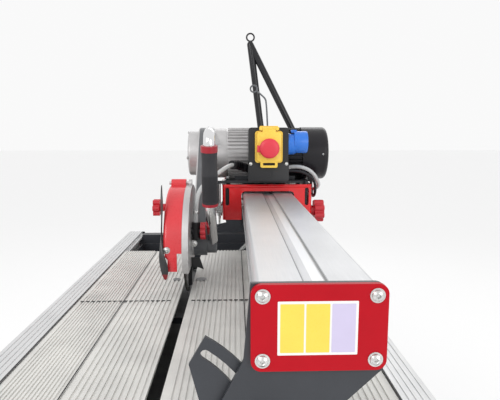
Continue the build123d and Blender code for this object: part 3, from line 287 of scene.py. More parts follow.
add_finish("rail_aluminium", (0.70, 0.705, 0.71), 0.42, 0.6, 0.22, 700, LENGTHWISE, 0.07, 9, 0.1)
# the beam's finish carries the channel's painted shade and painted highlight
add_finish("beam_aluminium", (0.62, 0.625, 0.635), 0.42, 0.6, 0.22, 700, LENGTHWISE, 0.05, 7,
           bands=CHANNEL_PAINTED_LIGHT_BANDS)
add_finish("charcoal_steel", (0.030, 0.033, 0.040), 0.45, 0.0, 0.16, 900, dust=0.10)
add_finish("black_steel", (0.011, 0.011, 0.013), 0.18, 0.0, 0.05, 700, coat=0.12, spec=0.35)
add_finish("red_steel", RED, 0.26, 0.0, 0.07, 500, blotch=0.08, coat=0.5)
add_finish("guard_red", (0.70, 0.030, 0.040), 0.30, 0.0, 0.06, 600, blotch=0.07, coat=0.35)
add_finish("red_plastic", (0.52, 0.008, 0.02), 0.34, 0.0, 0.10, 900, blotch=0.06, coat=0.2)
add_finish("zinc_steel", (0.62, 0.62, 0.61), 0.28, 1.0, 0.18, 600, blotch=0.10, blotch_scale=60)
add_finish("roller_steel", (0.45, 0.45, 0.46), 0.22, 1.0, 0.10, 800)
add_finish("core_steel", (0.20, 0.19, 0.19), 0.5, 0.8, 0.3, 500, (30, 1, 1))
add_finish("cast_silver", (0.56, 0.55, 0.55), 0.42, 0.65, 0.35, 900, blotch=0.10, blotch_scale=22)
add_finish("case_grey", (0.115, 0.12, 0.13), 0.42, 0.1, 0.2, 900, dust=0.12)
add_finish("chrome_tube", (0.78, 0.78, 0.79), 0.10, 1.0, 0.05, 400, blotch=0.04)
add_finish("table_grey", (0.72, 0.715, 0.69), 0.52, 0.25, 0.25, 500, LENGTHWISE, 0.14, 10, 0.35)
add_finish("charcoal_plastic", (0.026, 0.029, 0.036), 0.5, 0.0, 0.25, 700, dust=0.22)
add_finish("black_plastic", (0.014, 0.014, 0.016), 0.42, 0.0, 0.20, 900, spec=0.35)
add_finish("black_rubber", (0.014, 0.014, 0.015), 0.62, 0.0, 0.25, 800, dust=0.08)
add_finish("skirt_rubber", (0.02, 0.02, 0.022), 0.40, 0.0, 0.12, 500)
add_finish("grip_rubber", (0.034, 0.034, 0.038), 0.55, 0.0, 0.30, 900, spec=0.3)
add_finish("clear_hose", (0.62, 0.63, 0.62), 0.16, 0.0, 0.08, 300, blotch=0.06, coat=0.6, clear=0.35)
add_finish("cowl_black", (0.011, 0.010, 0.013), 0.32, 0.0, 0.14, 800, dust=0.03, spec=0.3)
add_finish("switch_black", (0.024, 0.024, 0.026), 0.38, 0.0, 0.25, 1000, spec=0.35)
add_finish("switch_yellow", (0.90, 0.60, 0.07), 0.32, 0.0, 0.12, 900, blotch=0.04, coat=0.2)
add_finish("inlet_blue", (0.02, 0.17, 0.66), 0.32, 0.0, 0.12, 900, blotch=0.05, coat=0.2)
add_finish("button_green", (0.02, 0.35, 0.07), 0.3, 0.0, 0.08, 900, coat=0.3)
add_finish("mushroom_red", (0.70, 0.035, 0.06), 0.36, 0.0, 0.10, 900, blotch=0.04)
add_finish("sticker_white", (0.78, 0.78, 0.76), 0.4, 0.0, 0.04, 300, blotch=0.03)
add_finish("sticker_lilac", (0.55, 0.50, 0.68), 0.4, 0.0, 0.04, 300, blotch=0.03)
# black for the painted shade behind the carriage's slot
add_finish("painted_shade_black", (0.010, 0.010, 0.011), 0.7, 0.0, 0.5, 500)
add_finish("ink_black", (0.010, 0.010, 0.010), 0.5, 0.0, 0.05, 400)
add_finish("collar_red", (0.34, 0.008, 0.02), 0.38, 0.0, 0.08, 700)
add_finish("hose_grey", (0.50, 0.51, 0.51), 0.34, 0.0, 0.08, 300, blotch=0.06, coat=0.3)
# black rubber skirt with a painted red reflection: dark red below 60 mm above the table top
add_finish("skirt_with_painted_red_reflection", (0.20, 0.006, 0.010), 0.40, grain=0.12, scale=500,
           second=(0.020, 0.020, 0.022), second_where=("Z", TABLE + 0.060))
add_finish("blade_steel", (0.50, 0.50, 0.51), 0.30, 1.0, 0.1, 600,
           rings=(tuple(BLADE), 0.1135, (0.16, 0.15, 0.13)))
# silver motor body with painted shade: black beyond x = 0.170, towards the fan end
add_finish("motor_silver_painted_shade", (0.56, 0.55, 0.55), 0.40, 0.55, 0.3, 900,
           second=(0.016, 0.016, 0.019), second_where=("X", 0.170))
add_finish("end_plate_red", (0.42, 0.001, 0.009), 0.38, grain=0.04, scale=500, blotch=0.06, spec=0.18)

# CAD nodes that don't wear the finish named after their slot
OWN_FINISH = {"motor_housing": "motor_silver_painted_shade", "guard_skirt": "skirt_with_painted_red_reflection", "end_plates": "end_plate_red"}
for row in frame["record"]["subparts"]:
    mesh = frame["nodes"][row["node"]].data
    mesh.materials.clear()
    mesh.materials.append(FINISHES[OWN_FINISH.get(row["node"], row["material_slot"])])


# --------------------------------------------------------- mesh building
def piece(name, bm, finish, body, smooth_deg=35.0):
    """Turns a bmesh into a finished piece that rides on a body."""
    bmesh.ops.recalc_face_normals(bm, faces=bm.faces)
    mesh = bpy.data.meshes.new(name)
    bm.to_mesh(mesh)
    bm.free()
    mesh.shade_smooth()
    mesh.set_sharp_from_angle(angle=math.radians(smooth_deg))
    mesh.materials.append(FINISHES[finish])
    made = bpy.data.objects.new(name, mesh)
    bpy.context.collection.objects.link(made)
    if body is not None:
        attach(made, body)
    return made


def frame_along(direction):
    """Rotation that turns +Z to a direction."""
    return Vector((0, 0, 1)).rotation_difference(Vector(direction)).to_matrix().to_4x4()


def lathe_into(bm, profile, at, direction, segments=48):
    """Adds a closed turned shape: profile is (radius, height) from one end of the axis to the other."""
    turn = Matrix.Translation(Vector(at)) @ frame_along(direction)
    rows = []
    for radius, height in profile:
        if radius < 1e-6:
            rows.append([bm.verts.new(turn @ Vector((0, 0, height)))])
            continue
        rows.append([
            bm.verts.new(turn @ Vector((radius * math.cos(a), radius * math.sin(a), height)))
            for a in (2 * math.pi * k / segments for k in range(segments))
        ])
    for low, high in zip(rows, rows[1:]):
        for k in range(segments):
            after = (k + 1) % segments
            if len(low) == 1 and len(high) > 1:
                bm.faces.new((low[0], high[k], high[after]))
            elif len(high) == 1 and len(low) > 1:
                bm.faces.new((low[k], low[after], high[0]))
            elif len(low) > 1:
                bm.faces.new((low[k], low[after], high[after], high[k]))
    if len(rows[0]) > 1 and len(rows[-1]) > 1 and (Vector(profile[0]) - Vector(profile[-1])).length < 1e-7:
        bmesh.ops.remove_doubles(bm, verts=rows[0] + rows[-1], dist=1e-7)


def lathe(name, profile, at, direction, finish, body, segments=48):
    bm = bmesh.new()
    lathe_into(bm, profile, at, direction, segments)
    return piece(name, bm, finish, body)


def slab_into(bm, outline, at, across, up, thick, bevel=0.0):
    """Adds a plate: outline is (u, v) points, drawn on two directions and given thickness along their cross."""
    across, up = Vector(across), Vector(up)
    normal = across.cross(up).normalized()
    face = bm.faces.new([bm.verts.new(Vector(at) + across * u + up * v) for u, v in outline])
    grown = bmesh.ops.extrude_face_region(bm, geom=[face])
    top = [g for g in grown["geom"] if isinstance(g, bmesh.types.BMVert)]
    bmesh.ops.translate(bm, verts=top, vec=normal * thick)
    if bevel > 0:
        faces = {f for v in top for f in v.link_faces}
        rim = [e for f in faces for e in f.edges if all(v in top for v in e.verts)]
        bmesh.ops.bevel(bm, geom=list(set(rim)), offset=bevel, segments=2, profile=0.6, affect="EDGES")


def slab(name, outline, at, across, up, thick, finish, body, bevel=0.0):
    bm = bmesh.new()
    slab_into(bm, outline, at, across, up, thick, bevel)
    return piece(name, bm, finish, body)


def rounded(width, height, radius, steps=5):
    """Rounded rectangle about its middle, as (u, v) points."""
    points = []
    for quarter, (sx, sy) in enumerate(((1, 1), (-1, 1), (-1, -1), (1, -1))):
        cx, cy = sx * (width / 2 - radius), sy * (height / 2 - radius)
        for k in range(steps + 1):
            a = math.pi / 2 * (quarter + k / steps)
            points.append((cx + radius * math.cos(a), cy + radius * math.sin(a)))
    return points


def nurbs_path(points):
    """Points along the smooth spline that a hose's route controls."""
    curve = bpy.data.curves.new("route", "CURVE")
    curve.dimensions = "3D"
    curve.resolution_u = 10
    spline = curve.splines.new("NURBS")
    spline.points.add(len(points) - 1)
    for control, point in zip(spline.points, points):
        control.co = (*point, 1)
    spline.order_u = 3
    spline.use_endpoint_u = True
    holder = bpy.data.objects.new("route", curve)
    bpy.context.collection.objects.link(holder)
    bpy.context.view_layer.update()
    mesh = bpy.data.meshes.new_from_object(holder.evaluated_get(bpy.context.evaluated_depsgraph_get()))
    path = [v.co.copy() for v in mesh.vertices]
    bpy.data.meshes.remove(mesh)
    bpy.data.objects.remove(holder)
    bpy.data.curves.remove(curve)
    return path


def path_length(path):
    return sum((b - a).length for a, b in zip(path, path[1:]))


def tube_into(bm, path, radius, segments=20):
    """Adds a closed round tube along a path; radius is a number or a function of the share of the path."""
    total, gone = path_length(path), 0.0
    side = (path[1] - path[0]).orthogonal().normalized()
    rows = []
    for k, point in enumerate(path):
        ahead = path[min(k + 1, len(path) - 1)] - path[max(k - 1, 0)]
        ahead.normalize()
        side = (side - ahead * side.dot(ahead)).normalized()
        other = ahead.cross(side)
        if k:
            gone += (point - path[k - 1]).length
        size = radius(gone / total) if callable(radius) else radius
        rows.append([
            bm.verts.new(point + (side * math.cos(a) + other * math.sin(a)) * size)
            for a in (2 * math.pi * n / segments for n in range(segments))
        ])
    for low, high in zip(rows, rows[1:]):
        for n in range(segments):
            after = (n + 1) % segments
            bm.faces.new((low[n], low[after], high[after], high[n]))
    bm.faces.new(rows[0][::-1])
    bm.faces.new(rows[-1])


def tube(name, path, radius, finish, body, segments=20):
    bm = bmesh.new()
    tube_into(bm, path, radius, segments)
    return piece(name, bm, finish, body)


def above_table(points):
    """Route points given in metres, with heights counted from the table top."""
    return [Vector((x, y, TABLE + z)) for x, y, z in points]


# -------------------------------------------------------------- the camera
LENS_MM, SENSOR_MM = 33.63, 36.0
camera = bpy.data.objects.new("camera", bpy.data.cameras.new("camera"))
camera.data.lens = LENS_MM
camera.data.sensor_width = SENSOR_MM
camera.location = (0.062, -1.125, TABLE + 0.372)
DOWN, RIGHT = math.radians(8.1), math.radians(1.8)
camera.rotation_euler = (math.pi / 2 - DOWN, 0, -RIGHT)
bpy.context.collection.objects.link(camera)
bpy.context.scene.camera = camera

# ------------------------------------------------------------ hoses, lead
FEED = above_table([
    (-0.033, -0.023, 0.162), (-0.033, -0.023, 0.197), (-0.027, -0.002, 0.237), (0.003, 0.044, 0.262),
    (0.036, 0.098, 0.284), (0.058, 0.150, 0.290), (0.076, 0.204, 0.281), (0.130, 0.213, 0.262),
    (0.186, 0.211, 0.268), (0.234, 0.205, 0.282), (0.280, 0.203, 0.268), (0.304, 0.213, 0.230),
    (0.306, 0.248, 0.214), (0.298, 0.280, 0.206), (0.291, 0.300, 0.184), (0.291, 0.300, 0.152),
])
LOOP = above_table([
    (0.291, 0.300, 0.130), (0.291, 0.300, 0.104), (0.272, 0.318, 0.072), (0.222, 0.344, 0.062),
    (0.168, 0.356, 0.056), (0.116, 0.358, 0.036), (0.074, 0.360, -0.010), (0.036, 0.372, -0.054),
    (-0.008, 0.400, -0.084), (-0.062, 0.436, -0.094), (-0.098, 0.484, -0.093), (-0.076, 0.528, -0.092),
    (-0.018, 0.540, -0.091), (0.042, 0.538, -0.089), (0.096, 0.546, -0.074), (0.136, 0.558, -0.038),
    (0.148, 0.566, 0.014), (0.152, 0.566, 0.060), (0.152, 0.566, 0.100),
])
PUMP = above_table([
    (0.180, 0.520, -0.072), (0.148, 0.520, -0.072), (0.116, 0.502, -0.066), (0.108, 0.468, -0.050),
    (0.134, 0.446, -0.026), (0.172, 0.452, 0.002), (0.196, 0.484, 0.024), (0.196, 0.528, 0.036),
    (0.179, 0.566, 0.060), (0.179, 0.566, 0.100),
])
LEAD = above_table([
    (0.206, 0.168, 0.270), (0.236, 0.168, 0.270), (0.264, 0.172, 0.260), (0.286, 0.180, 0.240),
    (0.291, 0.196, 0.206), (0.290, 0.226, 0.188), (0.288, 0.254, 0.198), (0.288, 0.258, 0.232),
])
HOSE_RADIUS, LEAD_RADIUS = 0.0055, 0.004


def hose(name, route, radius, finish, body, onto=None):
    """A hose or cable along its route; onto is (body, start, end), whose parts are not used: when onto is given, the
    hose rides on no body.
    """
    path = nurbs_path(route)
    made = tube(name, path, radius, finish, None if onto else body)
    if onto:
        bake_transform(made)
    return made


feed_line = hose("feed_line", FEED, HOSE_RADIUS, "hose_grey", "head",
                 ("carriage", (0.3, 0.216, TABLE + 0.2), (0.3, 0.298, TABLE + 0.2)))
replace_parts(feed_line, "feed_hose")
loop_line = hose("loop_line", LOOP, HOSE_RADIUS, "clear_hose", "carriage",
                 ("bridge", (0.2, 0.318, TABLE + 0.100), (0.2, 0.380, TABLE + 0.030)))
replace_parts(loop_line, "loop_hose")
pump_line = hose("pump_line", PUMP, HOSE_RADIUS, "clear_hose", "bench",
                 ("bridge", (0.15, 0.5, TABLE - 0.03), (0.15, 0.5, TABLE + 0.09)))
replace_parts(pump_line, "pump_hose")
lead_line = hose("lead_line", LEAD, LEAD_RADIUS, "cowl_black", "head", None)
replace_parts(lead_line, "motor_lead")

# ---------------------------------------------------------- detail helpers
def screw_into(bm, at, direction, radius, height, socket_sides=6):
    """Domed screw head with a driver socket and a washer under it, standing on a face."""
    turn = Matrix.Translation(Vector(at)) @ frame_along(direction)
    washer = [(0, 0), (radius * 1.25, 0), (radius * 1.25, height * 0.22), (0, height * 0.22)]
    lathe_into(bm, washer, at, direction, 28)
    low, deep, hole = height * 0.22, height * 0.5, radius * 0.46
    dome = [(radius * math.cos(a), low + (height - low) * math.sin(a)) for a in (0, 0.45, 0.85, 1.15)]
    rows = []
    for r, h in dome + [(hole, height * 0.985), (hole * 0.94, deep)]:
        star = r <= hole
        rows.append([])
        for k in range(socket_sides * 4):
            a = 2 * math.pi * k / (socket_sides * 4)
            size = r * (1 - 0.16 * (0.5 + 0.5 * math.cos(socket_sides * a))) if star else r
            rows[-1].append(bm.verts.new(turn @ Vector((size * math.cos(a), size * math.sin(a), h))))
    for one, two in zip(rows, rows[1:]):
        for k in range(len(one)):
            after = (k + 1) % len(one)
            bm.faces.new((one[k], one[after], two[after], two[k]))
    bm.faces.new(rows[0][::-1])
    bm.faces.new(rows[-1])


def screws(name, spots, direction, radius, height, finish, body, sides=6):
    bm = bmesh.new()
    for spot in spots:
        screw_into(bm, spot, direction, radius, height, sides)
    return piece(name, bm, finish, body, 30)


def hex_into(bm, at, direction, across, height):
    """Hexagon head or nut with its corners turned off."""
    r = across / math.sqrt(3)
    turn = Matrix.Translation(Vector(at)) @ frame_along(direction)
    rows = []
    for k, (share, h) in enumerate(((1, 0), (1, height * 0.82), (0.86, height))):
        rows.append([
            bm.verts.new(turn @ Vector((r * share * math.cos(a), r * share * math.sin(a), h)))
            for a in (math.pi / 3 * n for n in range(6))
        ])
    for one, two in zip(rows, rows[1:]):
        for n in range(6):
            bm.faces.new((one[n], one[(n + 1) % 6], two[(n + 1) % 6], two[n]))
    bm.faces.new(rows[0][::-1])
    bm.faces.new(rows[-1])


def bolts(name, spots, direction, across, height, finish, body):
    bm = bmesh.new()
    for spot in spots:
        washer = [(0, 0), (across * 0.78, 0), (across * 0.78, height * 0.2), (0, height * 0.2)]
        lathe_into(bm, washer, spot, direction, 28)
        hex_into(bm, Vector(spot) + Vector(direction) * height * 0.2, direction, across, height * 0.8)
    return piece(name, bm, finish, body, 30)


def ring_on(bm, path, share, radius, width):
    """Band around a hose at a share of its path."""
    k = min(int(share * (len(path) - 1)), len(path) - 2)
    along = (path[k + 1] - path[k]).normalized()
    start = path[k] - along * width / 2
    profile = [(radius * 0.9, 0), (radius, 0), (radius * 1.05, width * 0.2), (radius * 1.05, width * 0.8),
               (radius, width), (radius * 0.9, width), (radius * 0.9, 0)]
    lathe_into(bm, profile, start, along, 24)


# ----------------------------------------- screws on the cover and the tap
screws("guard_front_screws", [place(-92, -104.2, 114)], FRONT, 0.0062, 0.004, "zinc_steel", "cover")
screws("tap_front_screw", [place(-37, -36, 113)], FRONT, 0.0064, 0.004, "zinc_steel", "head")

# --------------------------------------------------------- the switch box
FACE_Y = switch[0].y
LOWER_COVER_THICK = 0.0035
slab("switch_lower_cover", rounded(0.111, 0.050, 0.006), (SWITCH_X, FACE_Y, TABLE + 0.268), X_AXIS, Z_AXIS,
     LOWER_COVER_THICK, "switch_black", "head", 0.001)
screws("switch_screws", [place(103.5, 136.5, 291), place(200.5, 136.5, 291)], FRONT, 0.0036, 0.002,
       "zinc_steel", "head", 4)
knockout = [(0.0090, 0), (0.0100, 0), (0.0100, 0.0008), (0.0090, 0.0008), (0.0090, 0)]
lathe("switch_knockout", knockout, (SWITCH_X, FACE_Y - LOWER_COVER_THICK, TABLE + 0.266), FRONT,
      "switch_black", "head", 40)


def mushroom():
    """Red stop button with a crowned face and its side tab."""
    bm = bmesh.new()
    back = 0.1118
    profile = [(0, 0), (0.0255, 0), (0.0262, 0.0008), (0.0262, 0.0060), (0.0250, 0.0086), (0.0215, 0.0104),
               (0.0140, 0.0113), (0, 0.0116)]
    lathe_into(bm, profile, (SWITCH_X, back, MUSHROOM_Z), FRONT, 64)
    tab = [(-0.0325, -0.010), (-0.018, -0.010), (-0.018, 0.008), (-0.0325, 0.008)]
    slab_into(bm, tab, (SWITCH_X, back - 0.001, MUSHROOM_Z), X_AXIS, Z_AXIS, 0.004, 0.0008)
    return piece("stop_mushroom", bm, "mushroom_red", "flap", 40)


def flap_plate():
    """Yellow flap: bevelled plate, its neck and hinge barrel, the pull loop and the stop button's stem."""
    bm = bmesh.new()
    neck_wide = 0.0354
    slab_into(bm, rounded(0.064, 0.079, 0.007), (SWITCH_X, 0.1258, TABLE + 0.3365), X_AXIS, Z_AXIS, 0.0066, 0.0012)
    slab_into(bm, rounded(neck_wide, 0.018, 0.002), (SWITCH_X, 0.1250, TABLE + 0.3760), X_AXIS, Z_AXIS, 0.0052, 0.0008)
    barrel = [(0, 0), (0.0034, 0), (0.0034, neck_wide), (0, neck_wide)]
    lathe_into(bm, barrel, (0.1343, 0.1225, TABLE + 0.385), X_AXIS, 24)
    outer, inner = rounded(0.046, 0.018, 0.005), rounded(0.032, 0.007, 0.002)
    loop_z, hole_rise = TABLE + 0.2905, 0.0005
    rings = []
    for y in (0.1200, 0.1240):
        rings.append([
            [bm.verts.new((SWITCH_X + u, y, loop_z + v + rise)) for u, v in outline]
            for outline, rise in ((outer, 0), (inner, hole_rise))
        ])
    count = len(outer)
    for n in range(count):
        m = (n + 1) % count
        bm.faces.new((rings[0][0][n], rings[0][0][m], rings[0][1][m], rings[0][1][n]))
        bm.faces.new((rings[1][0][m], rings[1][0][n], rings[1][1][n], rings[1][1][m]))
        bm.faces.new((rings[0][0][m], rings[0][0][n], rings[1][0][n], rings[1][0][m]))
        bm.faces.new((rings[0][1][n], rings[0][1][m], rings[1][1][m], rings[1][1][n]))
    stem = [(0, 0), (0.0145, 0), (0.0145, 0.008), (0, 0.008)]
    lathe_into(bm, stem, (SWITCH_X, 0.1195, MUSHROOM_Z), FRONT, 40)
    return piece("switch_flap_plate", bm, "switch_yellow", "flap", 40)


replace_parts(flap_plate(), "switch_flap")
mushroom()

# ------------------------------------------------------------- end plates
for side_name, face, outward in (("near", plates[0].y, -1), ("far", plates[1].y, 1)):
    spots = [Vector((x * MM, face, TABLE + z * MM)) for x in (91, 217) for z in (123, 197)]
    screws(f"end_plate_screws_{side_name}", spots, Y_AXIS * outward, 0.0068, 0.0052, "zinc_steel", "bridge")
LABEL_X, LABEL_Z, FILM, PANEL_PITCH = 0.152, TABLE + 0.160, 0.0003, 0.0285
slab("blank_label", rounded(0.089, 0.062, 0.001), (LABEL_X, plates[0].y, LABEL_Z), X_AXIS, Z_AXIS, FILM,
     "sticker_white", "bridge")
for k, finish in enumerate(("switch_yellow", "switch_yellow", "sticker_lilac")):
    centre = (LABEL_X + (k - 1) * PANEL_PITCH, plates[0].y - FILM, LABEL_Z)
    slab(f"blank_label_panel_{k}", rounded(0.0262, 0.056, 0.0006), centre, X_AXIS, Z_AXIS, FILM, finish, "bridge")


# -------------------------------------------------------------- the handle
GRIP_FOOT = place(5.5, -86, 200)
GRIP_UP = (place(5.5, -113, 368) - GRIP_FOOT).normalized()


def ribbed_grip():
    """Moulded grip with fine ribs over its lower half and a soft waist."""
    bore, rim, full, groove = 0.0128, 0.0172, 0.0180, 0.0173
    profile = [(bore, 0.018), (rim, 0.018), (full, 0.020)]
    for k in range(34):
        h = 0.023 + k * 0.00175
        profile += [(full, h), (groove, h + 0.0005), (groove, h + 0.0009), (full, h + 0.0014)]
    for k in range(9):
        profile.append((full - 0.0010 * math.sin(math.pi * k / 8), 0.084 + k * 0.0070))
    profile += [(rim, 0.1475), (bore, 0.148), (bore, 0.018)]
    bm = bmesh.new()
    lathe_into(bm, profile, GRIP_FOOT, GRIP_UP, 48)
    return piece("ribbed_grip", bm, "grip_rubber", "head", 28)


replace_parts(ribbed_grip(), "handle_grip")
COLLAR_BORE, COLLAR_EDGE = 0.0127, 0.0006
for name, low, high, radius in (
    ("grip_collar_top", 0.1340, 0.1480, 0.0184),
    ("grip_collar_foot", 0.0120, 0.0182, 0.0180),
):
    ring = [(COLLAR_BORE, low), (radius - COLLAR_EDGE, low), (radius, low + COLLAR_EDGE),
            (radius, high - COLLAR_EDGE), (radius - COLLAR_EDGE, high), (COLLAR_BORE, high), (COLLAR_BORE, low)]
    lathe(name, ring, GRIP_FOOT, GRIP_UP, "collar_red", "head")


# --------------------------------------------------- table and rail details
def strip(name, x, half_wide, y, z):
    """Thin dark line on the bench along y, standing a little above a face at z."""
    outline = [(x - half_wide, y[0]), (x + half_wide, y[0]), (x + half_wide, y[1]), (x - half_wide, y[1])]
    return slab(name, outline, (0, 0, z), X_AXIS, Y_AXIS, FILM, "ink_black", "bench")


for mark, x in (("left", -0.295), ("right", 0.295)):
    strip(f"rail_slot_{mark}", x, 0.0013, (rails[0].y + 0.004, rails[1].y - 0.004), rails[1].z)
JOINT_Y, DASH_PITCH = -0.111, 0.0120
bm = bmesh.new()
for low, high in ((panels[0].x + 0.006, -0.074), (-0.040, panels[1].x - 0.006)):
    for k in range(int((high - low) / DASH_PITCH)):
        x = low + DASH_PITCH * (k + 0.5)
        drift = 0.0007 * math.sin(2.1 * k)
        outline = [(x - 0.0038, JOINT_Y - 0.0042 + drift), (x + 0.0038, JOINT_Y - 0.0042 + drift),
                   (x + 0.0044, JOINT_Y + 0.0024), (x - 0.0044, JOINT_Y + 0.0024)]
        slab_into(bm, outline, (0, 0, TABLE), X_AXIS, Y_AXIS, FILM)
piece("panel_joint", bm, "ink_black", "bench")
for mark, x in (("left", -0.190), ("right", 0.080)):
    strip(f"panel_seam_{mark}", x, 0.0010, (panels[0].y + 0.003, panels[1].y - 0.003), TABLE)
# flat dark-grey discs lying on the table top
for mark, x, radius in (("left", -0.0900, 0.010), ("right", -0.0270, 0.0135)):
    lathe(f"table_dark_disc_{mark}", [(0, 0), (radius, 0), (radius, FILM), (0, FILM)], (x, 0.044, TABLE), Z_AXIS,
          "case_grey", "bench", 40)

# ------------------------------------------------- guard front and its flap
tab_outline = [(-0.091, 0.064), (-0.070, 0.064), (-0.070, 0.108), (-0.097, 0.108), (-0.097, 0.098), (-0.091, 0.092)]
slab("guard_front_tab", tab_outline, (0, -0.1012, TABLE), X_AXIS, Z_AXIS, 0.0028, "guard_red", "cover", 0.0008)


def curled_skirt():
    """Rubber strip that hangs along the cover's outer face and curls round to the front at its foot."""
    # x, y and height above the table in mm, half width in mm, turn towards the front in degrees
    rows = (
        (-106, -58, 256, 1.5, 0), (-105.5, -63, 240, 7, 14), (-104, -71, 214, 12, 24), (-103.8, -80, 188, 9, 14),
        (-103.8, -88, 164, 7, 4), (-103.8, -92, 142, 8, 8), (-104, -98, 118, 13, 20), (-102, -103, 98, 12, 45),
        (-98, -107, 80, 11, 68), (-96, -109, 64, 8.5, 80), (-95, -109.5, 53, 5, 84), (-95, -109.5, 47, 1.5, 84),
    )
    bm = bmesh.new()
    fronts, backs = [], []
    for x, y, z, half, turn in rows:
        a = math.radians(turn)
        wide = Vector((math.sin(a), -math.cos(a), 0))
        thick = Vector((math.cos(a), math.sin(a), 0)) * 0.0011
        centre = place(x, y, z)
        line = [centre + wide * (half * MM * share) - thick * (1.4 * share * share) for share in (-1, -0.5, 0, 0.5, 1)]
        fronts.append([bm.verts.new(point - thick) for point in line])
        backs.append([bm.verts.new(point + thick) for point in line])
    for side_rows in (fronts, backs):
        for one, two in zip(side_rows, side_rows[1:]):
            for k in range(4):
                bm.faces.new((one[k], one[k + 1], two[k + 1], two[k]))
    for k in (0, 4):
        for n in range(len(rows) - 1):
            bm.faces.new((fronts[n][k], fronts[n + 1][k], backs[n + 1][k], backs[n][k]))
    for n in (0, len(rows) - 1):
        for k in range(4):
            bm.faces.new((fronts[n][k], fronts[n][k + 1], backs[n][k + 1], backs[n][k]))
    made = piece("curled_skirt", bm, "skirt_with_painted_red_reflection", "cover", 60)
    smooth = made.modifiers.new("smooth", "SUBSURF")
    smooth.levels = smooth.render_levels = 2
    return made


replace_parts(curled_skirt(), "guard_skirt")


def splash_flap():
    """Black rubber flap below the guard's back, bent back at its foot, with a narrow tongue in the slot."""
    bm = bmesh.new()
    outline = [(-0.0535, 0.078), (-0.024, 0.078), (-0.0150, 0.0480), (-0.030, 0.0545), (-0.0425, 0.0510),
               (-0.0445, 0.006), (-0.0535, 0.002)]
    slab_into(bm, outline, (0, -0.028, TABLE), X_AXIS, Z_AXIS, 0.0028)
    bmesh.ops.subdivide_edges(bm, edges=bm.edges[:], cuts=5, use_grid_fill=True)
    for vert in bm.verts:
        fall = max(0.0, (TABLE + 0.078 - vert.co.z) / 0.076)
        vert.co.y += 0.014 * fall * fall + 0.003 * math.sin(60 * vert.co.x)
    return piece("splash_flap", bm, "skirt_rubber", "head", 50)


splash_flap()

# ------------------------------------------------------- hoses' small parts
feed_path, loop_path, pump_path = nurbs_path(FEED), nurbs_path(LOOP), nurbs_path(PUMP)
bm = bmesh.new()
sleeve = feed_path[int(0.31 * len(feed_path)):int(0.50 * len(feed_path))]
tube_into(bm, sleeve, lambda share: 0.0118 + 0.0016 * math.sin(share * 52) * math.sin(math.pi * share), 24)
piece("hose_sleeve", bm, "cowl_black", "head", 50)
for name, path, share, body in (
    ("feed_clamp_tap", feed_path, 0.03, "head"), ("loop_clamp_clip", loop_path, 0.03, "carriage"),
    ("loop_clamp_union", loop_path, 0.965, "bridge"), ("pump_clamp_pump", pump_path, 0.04, "bench"),
    ("pump_clamp_union", pump_path, 0.93, "bridge"), ("feed_clamp_clip", feed_path, 0.97, "carriage"),
):
    bm = bmesh.new()
    ring_on(bm, path, share, 0.0067, 0.0075)
    piece(name, bm, "zinc_steel", body)
slab("terminal_block", rounded(0.022, 0.020, 0.003), (0.288, 0.2465, TABLE + 0.241), X_AXIS, Z_AXIS,
     -0.016, "black_plastic", "head", 0.001)

# -------------------------------------------------- rod that guides the cable
ROD_RADIUS = 0.0025
rod_path = nurbs_path([
    place(160, 300, 384), place(158, 300, 430), place(155, 300, 466), place(153, 300, 474), place(146, 300, 482),
    place(128, 300, 497),
])
bm = bmesh.new()
tube_into(bm, rod_path, ROD_RADIUS, 16)
lathe_into(bm, [(0, 0), (0.009, 0), (0.009, 0.004), (0.0045, 0.008), (0, 0.008)], place(160, 300, 380), Z_AXIS, 24)
eye = [place(118 + 10 * math.cos(a), 300, 504 + 10 * math.sin(a)) for a in (2 * math.pi * k / 20 for k in range(20))]
for one, two in zip(eye, eye[1:] + eye[:1]):
    tube_into(bm, [one, one.lerp(two, 0.5), two], ROD_RADIUS, 12)
piece("cable_guide_rod", bm, "case_grey", "head", 50)

# --------------------------------------------- bolts, nuts and covers' screws
shell_left, shell_front, shell_top = shell[0].x, shell[0].y, shell[1].z
side_spot = Vector((shell_left, shell_front + 0.026, TABLE + 0.154))
bolts("carriage_side_bolt", [side_spot], -X_AXIS, 0.010, 0.007, "zinc_steel", "carriage")
arbor_end = Vector((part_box("arbor")[0].x, BLADE.y, BLADE.z))
bolts("blade_nut", [arbor_end], -X_AXIS, 0.017, 0.008, "zinc_steel", "blade_set")
case_spots = []
for angle, radius in ((100, 0.062), (190, 0.062), (10, 0.058)):
    a = math.radians(angle)
    case_spots.append(Vector((case_cover[0].x, MOTOR.y + radius * math.cos(a), MOTOR.z + radius * math.sin(a))))
screws("belt_cover_screws", case_spots, -X_AXIS, 0.0042, 0.003, "zinc_steel", "head", 6)
cowl_radius = MOTOR.y - cowl[0].y
for k, degrees in enumerate((60, 180, 300)):
    a = math.radians(degrees)
    round_y, round_z = cowl_radius * math.cos(a), cowl_radius * math.sin(a)
    spot = Vector((cowl[1].x - 0.018, MOTOR.y + 0.0005 + round_y, MOTOR.z + round_z))
    outward = (spot - Vector((spot.x, MOTOR.y, MOTOR.z))).normalized()
    screws(f"cowl_screw_{k}", [spot - outward * 0.0012], outward, 0.0034, 0.0024, "zinc_steel", "head", 4)

BEND_RADIUS = 0.0050
bend_line = [
    Vector((x, shell_front + 0.0028, shell_top - BEND_RADIUS))
    for x in (shell_left + 0.004, (shell_left + shell[1].x) / 2, shell[1].x - 0.004)
]
tube("carriage_bent_edge", bend_line, BEND_RADIUS, "red_steel", "carriage", 24)


